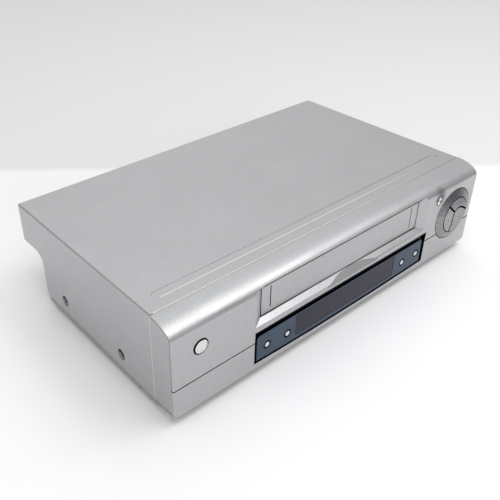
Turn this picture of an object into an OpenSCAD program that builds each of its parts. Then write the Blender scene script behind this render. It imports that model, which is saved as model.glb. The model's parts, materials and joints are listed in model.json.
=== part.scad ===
// Compact front-loading video cassette recorder, cassette flap closed, nothing loaded.
// Frame: +X to the right seen from the front, the front faces -Y, +Z up, millimetres.
// The origin is under the middle of the recorder, on the surface that it stands on.

/* [Body] */
// Width over the metal cover
body_w = 380; // [370:1:420]
// Depth from the flat front face to the rear edge of the top
body_d = 227; // [225:1:250]
// Height from the lower edge of the front to the top
body_h = 82.5; // [82:0.5:92]
// Height of the lower edge of the front above the table
front_lift = 10.5; // [9.5:0.5:14]
// Thickness of the cover sheet
sheet_t = 0.8; // [0.6:0.1:1.2]
// Height of the rubber feet
foot_h = 6.5; // [5:0.5:7]
// Diameter of a foot
foot_dia = 20; // [14:1:26]

/* [Front] */
// Wall of the front mouldings
wall = 2.5; // [2:0.1:3]
// Depth of the curved upper edge, from the front face to the cover seam
curve_d = 24; // [22:1:28]
// Height of the curved upper edge
curve_h = 11.5; // [9:0.5:13]
// Height of the seam between the lower and the upper moulding
seam_h = 25.2; // [24:0.1:29]
// Height by which the front's lower edge hangs below the sides
chin_h = 3; // [1:0.5:4]
// Gap round the small buttons
gap = 0.45; // [0.35:0.05:0.6]

/* [Cassette flap] */
// Width of the cassette flap
flap_w = 199.8; // [199.4:0.2:202]
// Gap round the cassette flap
flap_gap = 0.9; // [0.5:0.1:1]
// Height of the cassette opening
mouth_h = 31.4; // [31:0.2:32]
// Height of the opening's sill above the front's lower edge
sill_h = 43.8; // [43.6:0.2:46]
// Depth of the flap behind the front face
flap_recess = 5; // [4:0.5:6]
// Thickness of the flap
flap_t = 2.4; // [2:0.1:3]
// Width of the bevel beside the flap
bevel_side = 9.2; // [7:0.2:9.6]
// Height of the bevel below the flap
bevel_low = 3.2; // [2:0.2:4.4]

/* [Display] */
// Width of the display panel
display_w = 218; // [214:1:222]
// Height of the display panel's top edge
display_top = 28.7; // [28.2:0.1:30]
// Height of the display panel's bottom edge at its ends
display_low = 3.6; // [3:0.2:5]
// Drop of the display panel's curved bottom edge in the middle
display_bow = 1.9; // [1:0.1:2]
// Width of the dark window
window_w = 130; // [110:1:136]
// Height of the dark window
window_h = 20.8; // [15:0.2:21]

/* [Buttons] */
// Diameter of the four small panel buttons
dot_dia = 7.4; // [6:0.2:8.4]
// Diameter of the standby button
standby_dia = 14; // [11:0.5:16]
// Diameter of the transport button disc
disc_dia = 36.6; // [34:0.2:38]
// Diameter of the flared ring round the disc
ring_dia = 53.4; // [50:0.2:54]
// How far the transport disc stands proud of the front face
disc_proud = 3.7; // [2.5:0.1:4.5]
// How far a button travels when it is pressed
press = 1.2; // [0.6:0.1:1.4]

/* [Cassette carriage] */
// Width of the cassette
cassette_w = 187.5; // [187:0.1:188]
// Height of the cassette
cassette_h = 25; // [24.6:0.1:25.2]
// How far the carriage runs back
run_in = 30; // [24:1:31]
// How far the cassette holder comes down
drop = 22; // [18:0.5:22.5]
// Length of the cassette holder
holder_d = 56; // [50:1:57]

/* [Tape deck] */
// Thickness of the deck plate
deck_t = 1.2; // [1:0.1:2]
// Diameter of the head drum
drum_dia = 62; // [58:0.5:62]
// Tilt of the head drum
drum_tilt = 5.9; // [0:0.1:6.5]
// Distance between the two reels
reel_pitch = 92; // [91:0.2:94]
// Diameter of a reel's flange
reel_dia = 44; // [40:0.5:45]
// Diameter of the capstan shaft
capstan_dia = 4; // [3:0.1:5]
// Diameter of the capstan flywheel
flywheel_dia = 60; // [50:1:62]
// Diameter of the pinch roller
pinch_dia = 16; // [12:0.2:16.4]

/* [Hidden] */
$fn = 64;

// Clearances
seat = 0.3;        // between pieces that lie beside each other
running = 0.05;    // radial, shaft in bore
cut = 1;           // overshoot of a cutting solid

// Main planes
half_w = body_w / 2;
y_front = (disc_proud - body_d) / 2;
y_seam = y_front + curve_d;
y_rear = y_front + body_d;
z_front = front_lift;
z_top = front_lift + body_h;
z_curve = z_top - curve_h;
z_seam = z_front + seam_h;
z_inner = z_top - sheet_t;
side_t = 2.8;      // end walls of the front frame
front_split = 0.3; // each front moulding ends this far from the middle of their seam
plate_lip = 1.5;   // edge of the front plate over the end walls
lip_gap = 0.4;     // between that edge and the end walls
corner_r = 1.2;    // upright corners of the front
chin_r = 4;        // lower corners of the front

// Rear step: the lower back stands in under an overhang, so that plugs stay inside the depth
deck_bay = 193;    // room for the deck behind the front face
step_h = 44.6;
step_r = 11.5;
rear_t = 1;
rear_inset = 0.6;
y_step = y_front + deck_bay;
step_d = y_rear - y_step;
z_step = z_front + step_h;

// Base pan
pan_t = 0.8;
z_pan = foot_h;
dimple_depth = 2.4;
pan_half = half_w - sheet_t - seat;
pan_wall = half_w - dimple_depth - sheet_t - seat;
pan_h = 20;
pan_lip = 5;
pan_drop = 2.3;    // the pan's sides hang below its floor
z_joggle = z_front + 4;
y_pan_front = y_seam + seat;
y_pan_rear = y_step - rear_t - seat;

// Boards and deck
board_t = 1.6;
z_board = z_pan + pan_t + 4.2;
z_board_top = z_board + board_t;
z_deck = z_board_top + 13.9;
z_deck_top = z_deck + deck_t;
deck_half = 108;
y_deck_front = y_front + 27;
y_deck_rear = y_step - 10;
deck_leg_dia = 8;
deck_leg_in = 5;
deck_leg_x = deck_half - deck_leg_in;
deck_leg_y = [y_deck_front + deck_leg_in, y_deck_rear - deck_leg_in];
board_half = pan_half - pan_t - 6.1;
board_leg_in = 6;
y_board_rear = y_step - 5;
board_leg_dia = 6;
board_leg_at = concat([for (s = [-1, 1], y = [y_deck_front + board_leg_in, y_board_rear - board_leg_in])
    [s * (board_half - board_leg_in), y]], [[0, y_board_rear - board_leg_in]]);

// Cassette flap and its niche
mouth_half = flap_w / 2 + flap_gap;
flap_x = 1;
niche_half = mouth_half + bevel_side;
z_sill = z_front + sill_h;
z_mouth_top = z_sill + mouth_h;
z_niche = z_sill - bevel_low;
y_flap = y_front + flap_recess;
niche_wall = 2;
flap_pin_dia = 2.5;
flap_pin_l = 8;
flap_mark_x = 90;
hinge_r = flap_t / 2 + 0.4;
hinge_y = y_flap + hinge_r;
hinge_z = z_mouth_top - flap_gap - hinge_r;
flap_low = z_sill + flap_gap;
flap_swing = 88;

// Display
display_x = 3.1;
display_side = 3.2;    // black edges between the panel and the hole: beside, above and below it
display_over = 5.1;
display_under = 1.2;
display_flange = 2;
display_sink = 1;
display_t = 2;
display_r = 3;
window_x = display_x + 0.9;
window_low = 6.2;
lens_t = 1.5;
land_r = 2.4;
z_display_top = z_front + display_top;
z_display_low = z_front + display_low;

// Front board and switches
y_board = y_front + 13;
board_mid_half = 112;
board_mid_h = 38;
board_end_half = half_w - side_t - 3;
board_end_h = 72;
switch_w = 6;
switch_d = 4;
y_switch = y_board - switch_d;

// Button places, height above the front's lower edge
dot_rise = 0.6;
display_left = display_x - display_w / 2;
display_right = display_x + display_w / 2;
dot_x = [display_left + 11.7, display_left + 35.2, display_right - 28.6, display_right - 7.6];
dot_z = [15, 13.2, 14.2, 15.1];
standby_x = 26.7 - half_w;
standby_h = 54.5;
standby_rise = 1.2;
standby_gap = 0.9;
eject_h = 64.8;
eject_dia = 4.5;
eject_pitch = 3.8;
eject_tilt = 25;
eject_rise = 1;
disc_x = half_w - 33.3;
eject_x = disc_x - 28.2;
disc_h = 40.5;
disc_gap = 0.7;
ring_gap = 0.6;
disc_hub = [-0.5, 2.8];
disc_slot = 1.8;
// The three slots from the hub outwards, and the angles at which they reach the edge
slot_paths = [[[0, 0], [4, 2.7], [8, 3.1], [12, 1.7], [16, -0.8], [22, -5]],
              [[0, 0], [-11, 9.5], [-22, 19]],
              [[0, 0], [-1.2, -7.5], [-1.6, -13.8], [-4.7, -18.6], [-8, -24]]];
disc_arms = [-13, 139, 252];
disc_t = 3;
disc_dish = 0.8;

// Cassette path
holder_wall = 1;
holder_half = cassette_w / 2 + 0.75;
holder_lip = 14;
z_cassette = z_sill + 1.3;
y_holder = y_front + 37;
stop_t = 1;
holder_pin_dia = 3.4;
holder_pin_z = z_cassette + 14;
holder_pin_y = [y_holder + 16, y_holder + holder_d - 12];
slot_clear = 0.3;
slider_t = 1.2;
slider_gap = 0.5;
slider_x = holder_half + holder_wall + slider_gap;
slider_top = z_cassette + cassette_h + 4;
slider_low = z_deck_top + 3.5;
slider_pin_z = slider_top - 4;
slider_pin_y = [y_holder + 8, y_holder + holder_d - 8];
rail_t = 1.2;
rail_x = slider_x + slider_t + 0.6;
rail_foot = 6;
rail_back = 6;
y_rail_rear = y_holder + holder_d + run_in + rail_back;

// Tape deck places, measured back from the front face
drum_y = y_front + 156;
drum_base_dia = 54;
drum_base_t = 3;
lower_drum_h = 19;
drum_slit = 0.5;
upper_drum_h = 16;
drum_shaft_dia = 6;
reel_y = y_front + 70;
reel_x = reel_pitch / 2;
reel_pin_dia = 5;
reel_hub_dia = 18;
reel_h = 14;
wheel_t = 3;
z_wheel = z_deck_top + 2.3;
capstan_pos = [66, y_front + 131];
capstan_top = z_deck_top + 32;
bearing_dia = 9.9;
bearing_top = z_deck_top + 3.2;
flywheel_t = 3.5;
guide_foot_t = 1.8;
pulley_dia = 18;
pulley_t = 2.8;
z_flywheel = z_deck - guide_foot_t - 2 * seat - flywheel_t;
z_belt = z_flywheel - pulley_t;
centre_y = y_front + 44;
centre_dia = 28;
centre_shaft_dia = 4;
idler_reach = 28;
idler_dia = 20;
belt_t = 1.2;
belt_w = 1.6;
arm_t = 2;
pivot_dia = 4;
pinch_pivot = [86, y_front + 131];
pinch_reach = 20.07;
pinch_rest = 112;
pinch_swing = 38;
tension_pivot = [-84, y_front + 133];
tension_reach = 24.7;
tension_rest = -12;
tension_swing = 24;
post_dia = 4;
post_top = z_deck_top + 26;
guide_start = [24, y_front + 110];
guide_end = [49, y_front + 170];
guide_base_dia = 10;
guide_stem_dia = 4.4;
guide_track_w = guide_stem_dia + 2 * seat;
guide_roller_dia = 6;
tape_low = z_deck_top + 6;
tape_w = 18;
lamp_y = y_front + 103;
motor_pos = [-96, y_front + 163, z_deck_top + 10];
motor_dia = 18;
motor_l = 24;
worm_dia = 7;
worm_l = 19;
worm_pitch = 2.2;
loading_wheel_dia = 20;
worm_gap = 0.3;
motor_nose = 1;
loading_wheel_pos = [motor_pos[0] + (worm_dia + loading_wheel_dia) / 2 + worm_gap,
                     motor_pos[1] - motor_nose - seat - worm_l / 2];

// ---------- helpers ----------

// Extrudes an outline drawn in (y, z) along X
module along_x(x1, x2) {
    translate([x1, 0, 0]) rotate([90, 0, 90]) linear_extrude(x2 - x1) children();
}

// Extrudes an outline drawn in (x, z) along Y, from y1 back to y2
module along_y(y1, y2) {
    translate([0, y2, 0]) rotate([90, 0, 0]) linear_extrude(y2 - y1) children();
}

// Box from its lowest to its highest corner
module block(low, high) {
    translate(low) cube(high - low);
}

// Cylinder that lies along Y, from y1 back to y2
module rod_y(x, z, y1, y2, dia) {
    translate([x, y2, z]) rotate([90, 0, 0]) cylinder(h = y2 - y1, d = dia);
}

// Cylinder that lies along X
module rod_x(y, z, x1, x2, dia) {
    translate([x1, y, z]) rotate([0, 90, 0]) cylinder(h = x2 - x1, d = dia);
}

// Upright cylinder at a place [x, y]
module post(at, z1, z2, dia) {
    translate([at[0], at[1], z1]) cylinder(h = z2 - z1, d = dia);
}

// Points of the curved upper edge, moved in by a wall, from the front face up to the seam
curve_steps = 20;
function curve_points(inset) = [
    for (i = [0 : curve_steps])
        let (a = 90 * i / curve_steps)
        [y_seam - (curve_d - inset) * cos(a), z_curve + (curve_h - inset) * sin(a)]];

// Everything under the front's outer surface
module front_outline(inset, z_low) {
    polygon(concat([[y_seam, z_low], [y_front + inset, z_low]], curve_points(inset)));
}

// The front wall as a shell of even thickness
module front_shell(thick, z_low) {
    difference() {
        front_outline(0, z_low);
        front_outline(thick, z_low - cut);
        translate([y_seam - cut, z_low - cut]) square([2 * cut, z_top - thick - z_low + cut]);
    }
}

// Space of the front mouldings, with the two front corners rounded
module front_space() {
    linear_extrude(z_top + cut) {
        translate([corner_r - half_w, y_front]) square([body_w - 2 * corner_r, curve_d]);
        translate([-half_w, y_front + corner_r]) square([body_w, curve_d - corner_r]);
        for (s = [-1, 1]) translate([s * (half_w - corner_r), y_front + corner_r]) circle(corner_r);
    }
}

// Lower front wall in (x, z): it hangs below the sides, with round lower corners
module chin_outline() {
    low = z_front - chin_h;
    polygon(concat(
        [[-half_w, z_seam - front_split], [half_w, z_seam - front_split]],
        [for (a = [0 : 15 : 90]) [half_w - chin_r + chin_r * cos(a), low + chin_r - chin_r * sin(a)]],
        [for (a = [90 : -15 : 0]) [-half_w + chin_r - chin_r * cos(a), low + chin_r - chin_r * sin(a)]]));
}

// Display panel outline in (x, z): round upper corners and a bowed lower edge
bow_steps = 16;
module display_outline(beside, over, under) {
    half = display_w / 2 + beside;
    top = z_display_top + over;
    low = z_display_low - under;
    translate([display_x, 0]) polygon(concat(
        [for (i = [0 : bow_steps])
            let (t = 2 * i / bow_steps - 1)
            [half * t, low - display_bow * (1 - t * t)]],
        [for (a = [0 : 15 : 90]) [half - display_r + display_r * cos(a), top - display_r + display_r * sin(a)]],
        [for (a = [90 : 15 : 180]) [-half + display_r + display_r * cos(a), top - display_r + display_r * sin(a)]]));
}

// Outline of the hole in the front
module display_hole() {
    display_outline(display_side, display_over, display_under);
}

// Rear step as an area in (y, z), with its inner corner rounded, grown by a wall
module step_area(grow) {
    r = step_r + grow;
    translate([y_step - grow, -cut]) square([step_d + grow + 10, z_step + grow + cut - r]);
    translate([y_step - grow + r, -cut]) square([step_d + grow + 10 - r, z_step + grow + cut]);
    translate([y_step - grow + r, z_step + grow - r]) circle(r);
}

// ---------- casing ----------

groove_l = 352;
groove_w = 8;
groove_depth = 0.5;
groove_y = y_front + 40;
dimple_dia = 10;
dimple_low_dia = 7.5;
dimple_slope = (dimple_dia - dimple_low_dia) / dimple_depth;
screw_h = 12.8;
screw_y = [y_front + 69.3, y_front + 158.6];
screw_dia = 3.5;
screw_head_dia = 6.4;
cover_bend = 1.6;
relief = [3, 0.6, 2];    // notch in the cover's front edge at each bend

module cover_section(inset) {
    r = cover_bend - inset;
    half = half_w - inset;
    translate([-half, 0]) square([2 * half, z_top - inset - r]);
    translate([-half + r, 0]) square([2 * (half - r), z_top - inset]);
    for (s = [-1, 1]) translate([s * (half - r), z_top - inset - r]) circle(r);
}

module groove(depth_low, depth_high, width) {
    for (s = [-1, 1])
        translate([s * (groove_l - groove_w) / 2, groove_y, z_top - depth_low])
            cylinder(h = depth_low + depth_high, d = width);
    block([-(groove_l - groove_w) / 2, groove_y - width / 2, z_top - depth_low],
          [(groove_l - groove_w) / 2, groove_y + width / 2, z_top + depth_high]);
}

// Cone in from a side face, between two depths under it
module side_cone(side, y, depth_1, depth_2, dia_1, dia_2) {
    translate([side * (half_w - depth_1), y, z_front + screw_h]) rotate([0, -side * 90, 0])
        cylinder(h = depth_2 - depth_1, d1 = dia_1, d2 = dia_2);
}

module top_cover() {
    color("silver") difference() {
        union() {
            difference() {
                along_y(y_seam + seat / 2, y_rear) cover_section(0);
                along_y(y_seam - cut, y_rear + cut) cover_section(sheet_t);
            }
            groove(sheet_t + groove_depth, -groove_depth / 2, groove_w + 2 * sheet_t);
            for (s = [-1, 1], y = screw_y)
                side_cone(s, y, sheet_t / 2, dimple_depth + sheet_t, dimple_dia + 2 * sheet_t,
                          dimple_low_dia + 2 * sheet_t);
        }
        groove(groove_depth, cut, groove_w);
        block([-half_w - cut, y_seam - cut, -cut], [half_w + cut, y_rear + cut, z_front]);
        along_x(-half_w - cut, half_w + cut) step_area(0);
        for (s = [-1, 1], y = screw_y) {
            side_cone(s, y, -seat, dimple_depth, dimple_dia + seat * dimple_slope, dimple_low_dia);
            side_cone(s, y, 0, dimple_depth + 2 * sheet_t, screw_dia + 2 * seat, screw_dia + 2 * seat);
        }
        for (s = [-1, 1]) translate([s * half_w, y_seam, z_top])
            cube([2 * relief[0], 2 * relief[1] + seat, 2 * relief[2]], center = true);
    }
}

// Screws: two on each side in their dimples
screw_head_t = 0.7;
screw_l = 8;
module side_screw(side, y) {
    x = side * (half_w - dimple_depth);
    z = z_front + screw_h;
    difference() {
        union() {
            rod_x(y, z, min(x, x + side * screw_head_t), max(x, x + side * screw_head_t), screw_head_dia);
            rod_x(y, z, min(x, x - side * screw_l), max(x, x - side * screw_l), screw_dia);
        }
        for (turn = [0, 90])
            translate([x + side * screw_head_t, y, z]) rotate([turn, 0, 0])
                cube([0.8, 0.8, 4], center = true);
    }
}

module cover_screws() {
    color("dimgray") for (side = [-1, 1], y = screw_y) side_screw(side, y);
}

// Curved front plate with the cassette niche, above the seam
scoop_x = 8;
scoop_half = 33;
scoop_rise = bevel_low + 1;
scoop_fall = 3;
block_rear = y_flap;
hinge_ear_d = 6;

module bevel_cut() {
    intersection() {
        along_x(-niche_half - cut, niche_half + cut)
            polygon([[y_front - cut, z_niche - cut * bevel_low / flap_recess],
                     [y_flap, z_sill], [y_flap, z_top], [y_front - cut, z_top]]);
        translate([0, 0, z_niche - cut]) linear_extrude(z_top - z_niche)
            polygon([[-niche_half - cut * (bevel_side + flap_x) / flap_recess, y_front - cut],
                     [flap_x - mouth_half, y_flap], [flap_x + mouth_half, y_flap],
                     [niche_half + cut * (bevel_side - flap_x) / flap_recess, y_front - cut]]);
        block([-half_w, y_front - cut, z_front], [half_w, y_flap, z_mouth_top]);
    }
}

module finger_scoop() {
    radius = (scoop_half * scoop_half + scoop_rise * scoop_rise) / (2 * scoop_rise);
    intersection() {
        along_x(scoop_x - scoop_half, scoop_x + scoop_half)
            polygon([[y_front - cut, z_niche - scoop_fall - cut], [y_front - cut, z_sill],
                     [y_flap, z_sill], [y_front, z_niche - scoop_fall]]);
        translate([0, y_flap, z_sill - radius]) rotate([90, 0, 0])
            translate([scoop_x, 0, 0]) cylinder(h = flap_recess + cut, r = radius, $fn = 360);
    }
}

module front_panel() {
    edge = half_w - side_t - front_split;
    color("silver") difference() {
        union() {
            along_x(-edge, edge) front_shell(wall, z_seam + front_split);
            intersection() {
                along_x(-half_w, half_w) front_shell(plate_lip, z_seam + front_split);
                front_space();
            }
            intersection() {
                block([-niche_half - wall, y_front, z_niche - wall], [niche_half + wall, block_rear, z_top]);
                along_x(-edge, edge) front_outline(0, z_seam);
            }
            for (side = [-1, 1]) translate([flap_x + side * (mouth_half + niche_wall / 2), 0, 0])
                block([-niche_wall / 2, y_front + wall / 2, z_sill - wall],
                      [niche_wall / 2, y_flap + hinge_ear_d, z_mouth_top]);
            for (x = [standby_x, eject_x])
                rod_y(x, z_front + (x < 0 ? standby_h : eject_h), y_front + wall / 2, y_front + 5,
                      (x < 0 ? standby_dia : eject_dia + eject_pitch) + 2 * gap + 3);
        }
        bevel_cut();
        finger_scoop();
        along_y(y_front - cut, y_front + wall + cut) display_hole();
        along_x(display_left - display_side, display_right + display_side) difference() {
            translate([y_front - cut, z_display_top]) square([land_r + cut, display_over + land_r]);
            translate([y_front + land_r, z_display_top + display_over + land_r]) circle(land_r);
        }
        rod_y(disc_x, z_front + disc_h, y_front - cut, y_front + wall + cut, ring_dia + 2 * ring_gap);
        rod_y(standby_x, z_front + standby_h, y_front - cut, y_front + 6, standby_dia);
        for (at = eject_places) rod_y(at[0], at[1], y_front - cut, y_front + 6, eject_dia + 2 * gap);
        translate([flap_x, 0, 0]) {
            block([-mouth_half, y_front - cut, z_sill],
                  [mouth_half, y_flap + hinge_ear_d + cut, z_mouth_top]);
            rod_x(hinge_y, hinge_z, -mouth_half - niche_wall - cut, mouth_half + niche_wall + cut,
                  flap_pin_dia + 2 * running);
            rod_x(hinge_y, hinge_z, spring_x - spring_turns * spring_pitch, spring_x + 2 * spring_wire,
                  2 * spring_r + spring_wire + 2 * seat);
        }
    }
}

// Lower moulding with its floor and the two end walls that close the curved edge
floor_t = 2;
module front_frame() {
    edge = half_w - side_t;
    color("silver") difference() {
        intersection() {
            union() {
                along_y(y_front, y_front + wall) chin_outline();
                block([-half_w, y_front, z_front], [half_w, y_seam, z_front + floor_t]);
                for (side = [-1, 1])
                    along_x(side > 0 ? edge : -half_w, side > 0 ? half_w : -edge) {
                        front_outline(plate_lip + lip_gap, z_front);
                        translate([y_front, z_front]) square([curve_d, seam_h - front_split]);
                    }
                for (side = [-1, 1]) translate([side * (edge - 3), 0, 0])
                    block([-3, y_front + wall + seat, z_front + 1], [3, y_front + wall + seat + 2, z_seam + 6]);
            }
            front_space();
        }
        along_y(y_front - cut, y_front + wall + cut) display_hole();
        rod_y(disc_x, z_front + disc_h, y_front - cut, y_front + wall + cut, ring_dia + 2 * ring_gap);
        rod_y(disc_x, z_front + disc_h, y_front + wall, y_front + 7, ring_dia + 2 * ring_lip + 1);
    }
}

// ---------- base and rear ----------

foot_x = half_w - 30;
foot_y = [y_pan_front + 10, y_pan_rear - 27];
notch_y = y_front + 45;
notch_w = 2.5;

// Side of the pan: it hangs below the floor and steps in at the joggle to pass the cover's dimples
module pan_side(side) {
    for (b = [[pan_half - pan_t, pan_half, z_pan - pan_drop, z_joggle],
              [pan_wall - pan_t, pan_half, z_joggle - pan_t, z_joggle],
              [pan_wall - pan_t, pan_wall, z_joggle - pan_t, z_pan + pan_h]])
        block([min(side * b[0], side * b[1]), y_pan_front, b[2]], [max(side * b[0], side * b[1]), y_pan_rear, b[3]]);
}

module base_pan() {
    color("#b9b5ab") difference() {
        union() {
            block([-pan_half, y_pan_front, z_pan], [pan_half, y_pan_rear, z_pan + pan_t]);
            for (side = [-1, 1]) pan_side(side);
            block([-pan_half, y_pan_front, z_pan], [pan_half, y_pan_front + pan_t, z_pan + pan_lip]);
            block([-pan_half, y_pan_rear - pan_t, z_pan], [pan_half, y_pan_rear, z_pan + pan_lip]);
            for (side = [-1, 1], y = deck_leg_y) post([side * deck_leg_x, y], z_pan, z_deck, deck_leg_dia);
            for (at = board_leg_at) post(at, z_pan, z_board, board_leg_dia);
        }
        for (side = [-1, 1], y = deck_leg_y)
            post([side * deck_leg_x, y], z_deck - deck_screw_l, z_deck + cut, deck_screw_dia + 2 * running);
        for (y = screw_y) rod_x(y, z_front + screw_h, -half_w, half_w, screw_dia + 2 * seat);
        for (side = [-1, 1]) translate([side * pan_half, notch_y, z_pan - pan_drop])
            cube([4 * pan_t, notch_w, 2 * pan_drop], center = true);
    }
}

module feet() {
    color("#2b2b2b") for (side = [-1, 1], y = foot_y) translate([side * foot_x, y, 0])
        rotate_extrude() polygon([[0, 0], [foot_dia / 2 - 1, 0], [foot_dia / 2, 1],
                                  [foot_dia / 2 - 1.5, foot_h], [0, foot_h]]);
}

scart_w = 50;
scart_h = 16.4;
scart_x = [-20, 40];
scart_depth = 9.5;
scart_wall = 2;
tuner_w = 48;
tuner_d = 62;
tuner_h = 22;
tuner_x = board_half - 4 - tuner_w / 2;
jack_x = [tuner_x - 58, tuner_x - 44];
socket_collar = 1.6;
collar_proud = 0.5;
jack_dia = 8.3;
jack_l = 8;
jack_z = z_board_top + 9;
aerial_x = [tuner_x - 12, tuner_x + 12];
aerial_dia = 9.5;
aerial_l = 9;
aerial_z = z_board_top + 12;
inlet_x = 40 - half_w;
inlet_w = 22;
inlet_h = 13;
inlet_depth = 12;
inlet_z = z_board_top + 10;
socket_proud = 1.5;
rear_half = half_w - sheet_t - seat;
z_rear_low = z_pan + 1;
slit_count = 9;
slit_pitch = 6;
slit_l = 22;

module rear_panel() {
    y_back = y_rear - rear_inset;
    color("#9a9a98") difference() {
        along_x(-rear_half, rear_half) {
            difference() {
                intersection() {
                    step_area(rear_t);
                    translate([y_step - rear_t, z_rear_low]) square([y_back - y_step + rear_t, z_top - z_rear_low]);
                }
                step_area(0);
            }
            translate([y_back - rear_t, z_step]) square([rear_t, z_inner - seat - z_step]);
        }
        for (x = scart_x) block([x - scart_w / 2 - seat, y_step - 3, z_board_top],
                                [x + scart_w / 2 + seat, y_step + 3, z_board_top + scart_h + 2 * seat]);
        for (x = jack_x) rod_y(x, jack_z, y_step - 3, y_step + 3, jack_dia + 2 * socket_collar + 2 * seat);
        for (x = aerial_x) rod_y(x, aerial_z, y_step - 3, y_step + 3, aerial_dia + 2 * socket_collar + 2 * seat);
        block([inlet_x - inlet_w / 2 - seat, y_step - 3, inlet_z - inlet_h / 2 - seat],
              [inlet_x + inlet_w / 2 + seat, y_step + 3, inlet_z + inlet_h / 2 + seat]);
        for (i = [0 : slit_count - 1], x = [-110, 110])
            block([x + (i - (slit_count - 1) / 2) * slit_pitch - 1, y_back - 3, z_step + 10],
                  [x + (i - (slit_count - 1) / 2) * slit_pitch + 1, y_back + 1, z_step + 10 + slit_l]);
    }
}

// ---------- cassette flap ----------

flap_mark = [1, 1];    // width and depth of the two upright marks
module cassette_flap() {
    half = flap_w / 2;
    color("#c4c5c6") translate([flap_x, 0, 0]) difference() {
        union() {
            block([-half, y_flap, flap_low], [half, y_flap + flap_t, hinge_z]);
            rod_x(hinge_y, hinge_z, -half, half, 2 * hinge_r);
            rod_x(hinge_y, hinge_z, -half - flap_pin_l, half + flap_pin_l, flap_pin_dia);
        }
        for (side = [-1, 1]) translate([side * flap_mark_x, 0, 0])
            block([-flap_mark[0] / 2, y_flap - cut, flap_low + 4], [flap_mark[0] / 2, y_flap + flap_mark[1], hinge_z - 3]);
    }
}

// Torsion spring round the flap's left pin, drawn as separate turns
spring_wire = 0.7;
spring_turns = 4;
spring_pitch = 1.1;
spring_r = flap_pin_dia / 2 + spring_wire / 2 + seat;
spring_x = -mouth_half - niche_wall - 1;
module flap_spring() {
    color("gray") for (i = [0 : spring_turns - 1])
        translate([flap_x + spring_x - i * spring_pitch, hinge_y, hinge_z]) rotate([0, 90, 0])
            rotate_extrude() translate([spring_r, 0]) circle(d = spring_wire, $fn = 24);
}

// ---------- display ----------

module display_panel() {
    color("#6b7485") difference() {
        union() {
            along_y(y_front + display_sink, y_front + display_sink + display_t) display_outline(0, 0, 0);
            along_y(y_front + wall + seat, y_front + wall + seat + 1)
                intersection() {
                    display_outline(display_side + display_flange, display_over + display_flange,
                                    display_under + display_flange);
                    translate([-half_w, z_front + floor_t + seat]) square([body_w, body_h]);
                }
        }
        along_y(y_front - cut, y_front + 10) window_outline(seat);
        for (i = [0 : 3])
            rod_y(dot_x[i], z_front + dot_z[i], y_front - cut, y_front + 10, dot_dia);
    }
}

module window_outline(margin) {
    translate([window_x - window_w / 2 - margin, z_front + window_low - margin])
        square([window_w + 2 * margin, window_h + 2 * margin]);
}

module display_lens() {
    color("#34384a") union() {
        along_y(y_front + display_sink + 0.2, y_front + display_sink + 0.2 + lens_t) window_outline(0);
        along_y(y_front + wall + 1 + 2 * seat, y_front + wall + 2 + 2 * seat) window_outline(1.5);
        along_y(y_front + display_sink + 0.2, y_front + wall + 1 + 2 * seat + 0.1) window_outline(-2);
    }
}

module display_tube() {
    color("#8a9aa0") block([window_x - window_w / 2 + 6, y_front + 6, z_front + window_low],
                           [window_x + window_w / 2 - 6, y_board, z_front + window_low + window_h]);
}

// ---------- buttons ----------

stem_dia = 2.4;
plunger_in = 1;
eject_places = [for (s = [-1, 1])
    [eject_x + s * eject_pitch / 2 * sin(eject_tilt), z_front + eject_h + s * eject_pitch / 2 * cos(eject_tilt)]];

// Domed cap whose crown stands rise in front of the face at depth d
module cap(dia, rise, crown) {
    steps = 6;
    r = dia / 2;
    rotate_extrude() polygon(concat(
        [[0, -2.5], [r, -2.5]],
        [for (i = [0 : steps]) let (t = i / steps) [r * cos(90 * t), rise - crown + crown * sin(90 * t)]]));
}

module round_button(x, h, dia, rise, crown, depth) {
    color("#c9cacb") union() {
        translate([x, y_front + depth, z_front + h]) rotate([90, 0, 0]) cap(dia, rise, crown);
        rod_y(x, z_front + h, y_front + depth + 2, y_switch + plunger_in, stem_dia);
    }
}

module dot_button(i) {
    round_button(dot_x[i], dot_z[i], dot_dia - 1.6, dot_rise, 1.6, display_sink);
}

module standby_button() {
    round_button(standby_x, standby_h, standby_dia - 2 * standby_gap, standby_rise, 1.2, 0);
}

module eject_button() {
    color("#c9cacb") union() {
        for (at = eject_places)
            translate([at[0], y_front, at[1]]) rotate([90, 0, 0]) cap(eject_dia, eject_rise, 1.6);
        rod_y(eject_x, z_front + eject_h, y_front + 1.5, y_switch + plunger_in, stem_dia);
    }
}

ring_lip = 2;
ring_floor = 4;
ring_floor_t = 1.5;
disc_r = disc_dia / 2;
sector_stem_r = 10;
sector_to = [for (i = [0 : 2]) i < 2 ? disc_arms[i + 1] : disc_arms[0] + 360];

module control_ring() {
    inner = disc_r + disc_gap;
    outer = ring_dia / 2;
    back = ring_floor + ring_floor_t;
    color("silver") difference() {
        translate([disc_x, y_front, z_front + disc_h]) rotate([-90, 0, 0]) rotate_extrude($fn = 96)
            polygon([[inner, seat - disc_proud], [outer, 0], [outer, wall + seat],
                     [outer + ring_lip, wall + seat], [outer + ring_lip, back], [0, back],
                     [0, ring_floor], [inner, ring_floor]]);
        for (i = [0 : 2]) sector_stem(i, y_front, y_front + 10, stem_dia + 2 * seat);
    }
}

function sector_mid(i) = (disc_arms[i] + sector_to[i]) / 2;
module sector_stem(i, y1, y2, dia) {
    rod_y(disc_x + sector_stem_r * cos(sector_mid(i)), z_front + disc_h + sector_stem_r * sin(sector_mid(i)),
          y1, y2, dia);
}

// Points beside a slot's path, at half its width
function beside(path, side) = [
    for (k = [0 : len(path) - 1])
        let (run = path[min(k + 1, len(path) - 1)] - path[max(k - 1, 0)])
        path[k] + side * disc_slot / 2 * [-run[1], run[0]] / norm(run)];

function reversed(list) = [for (k = [len(list) - 1 : -1 : 0]) list[k]];

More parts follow.
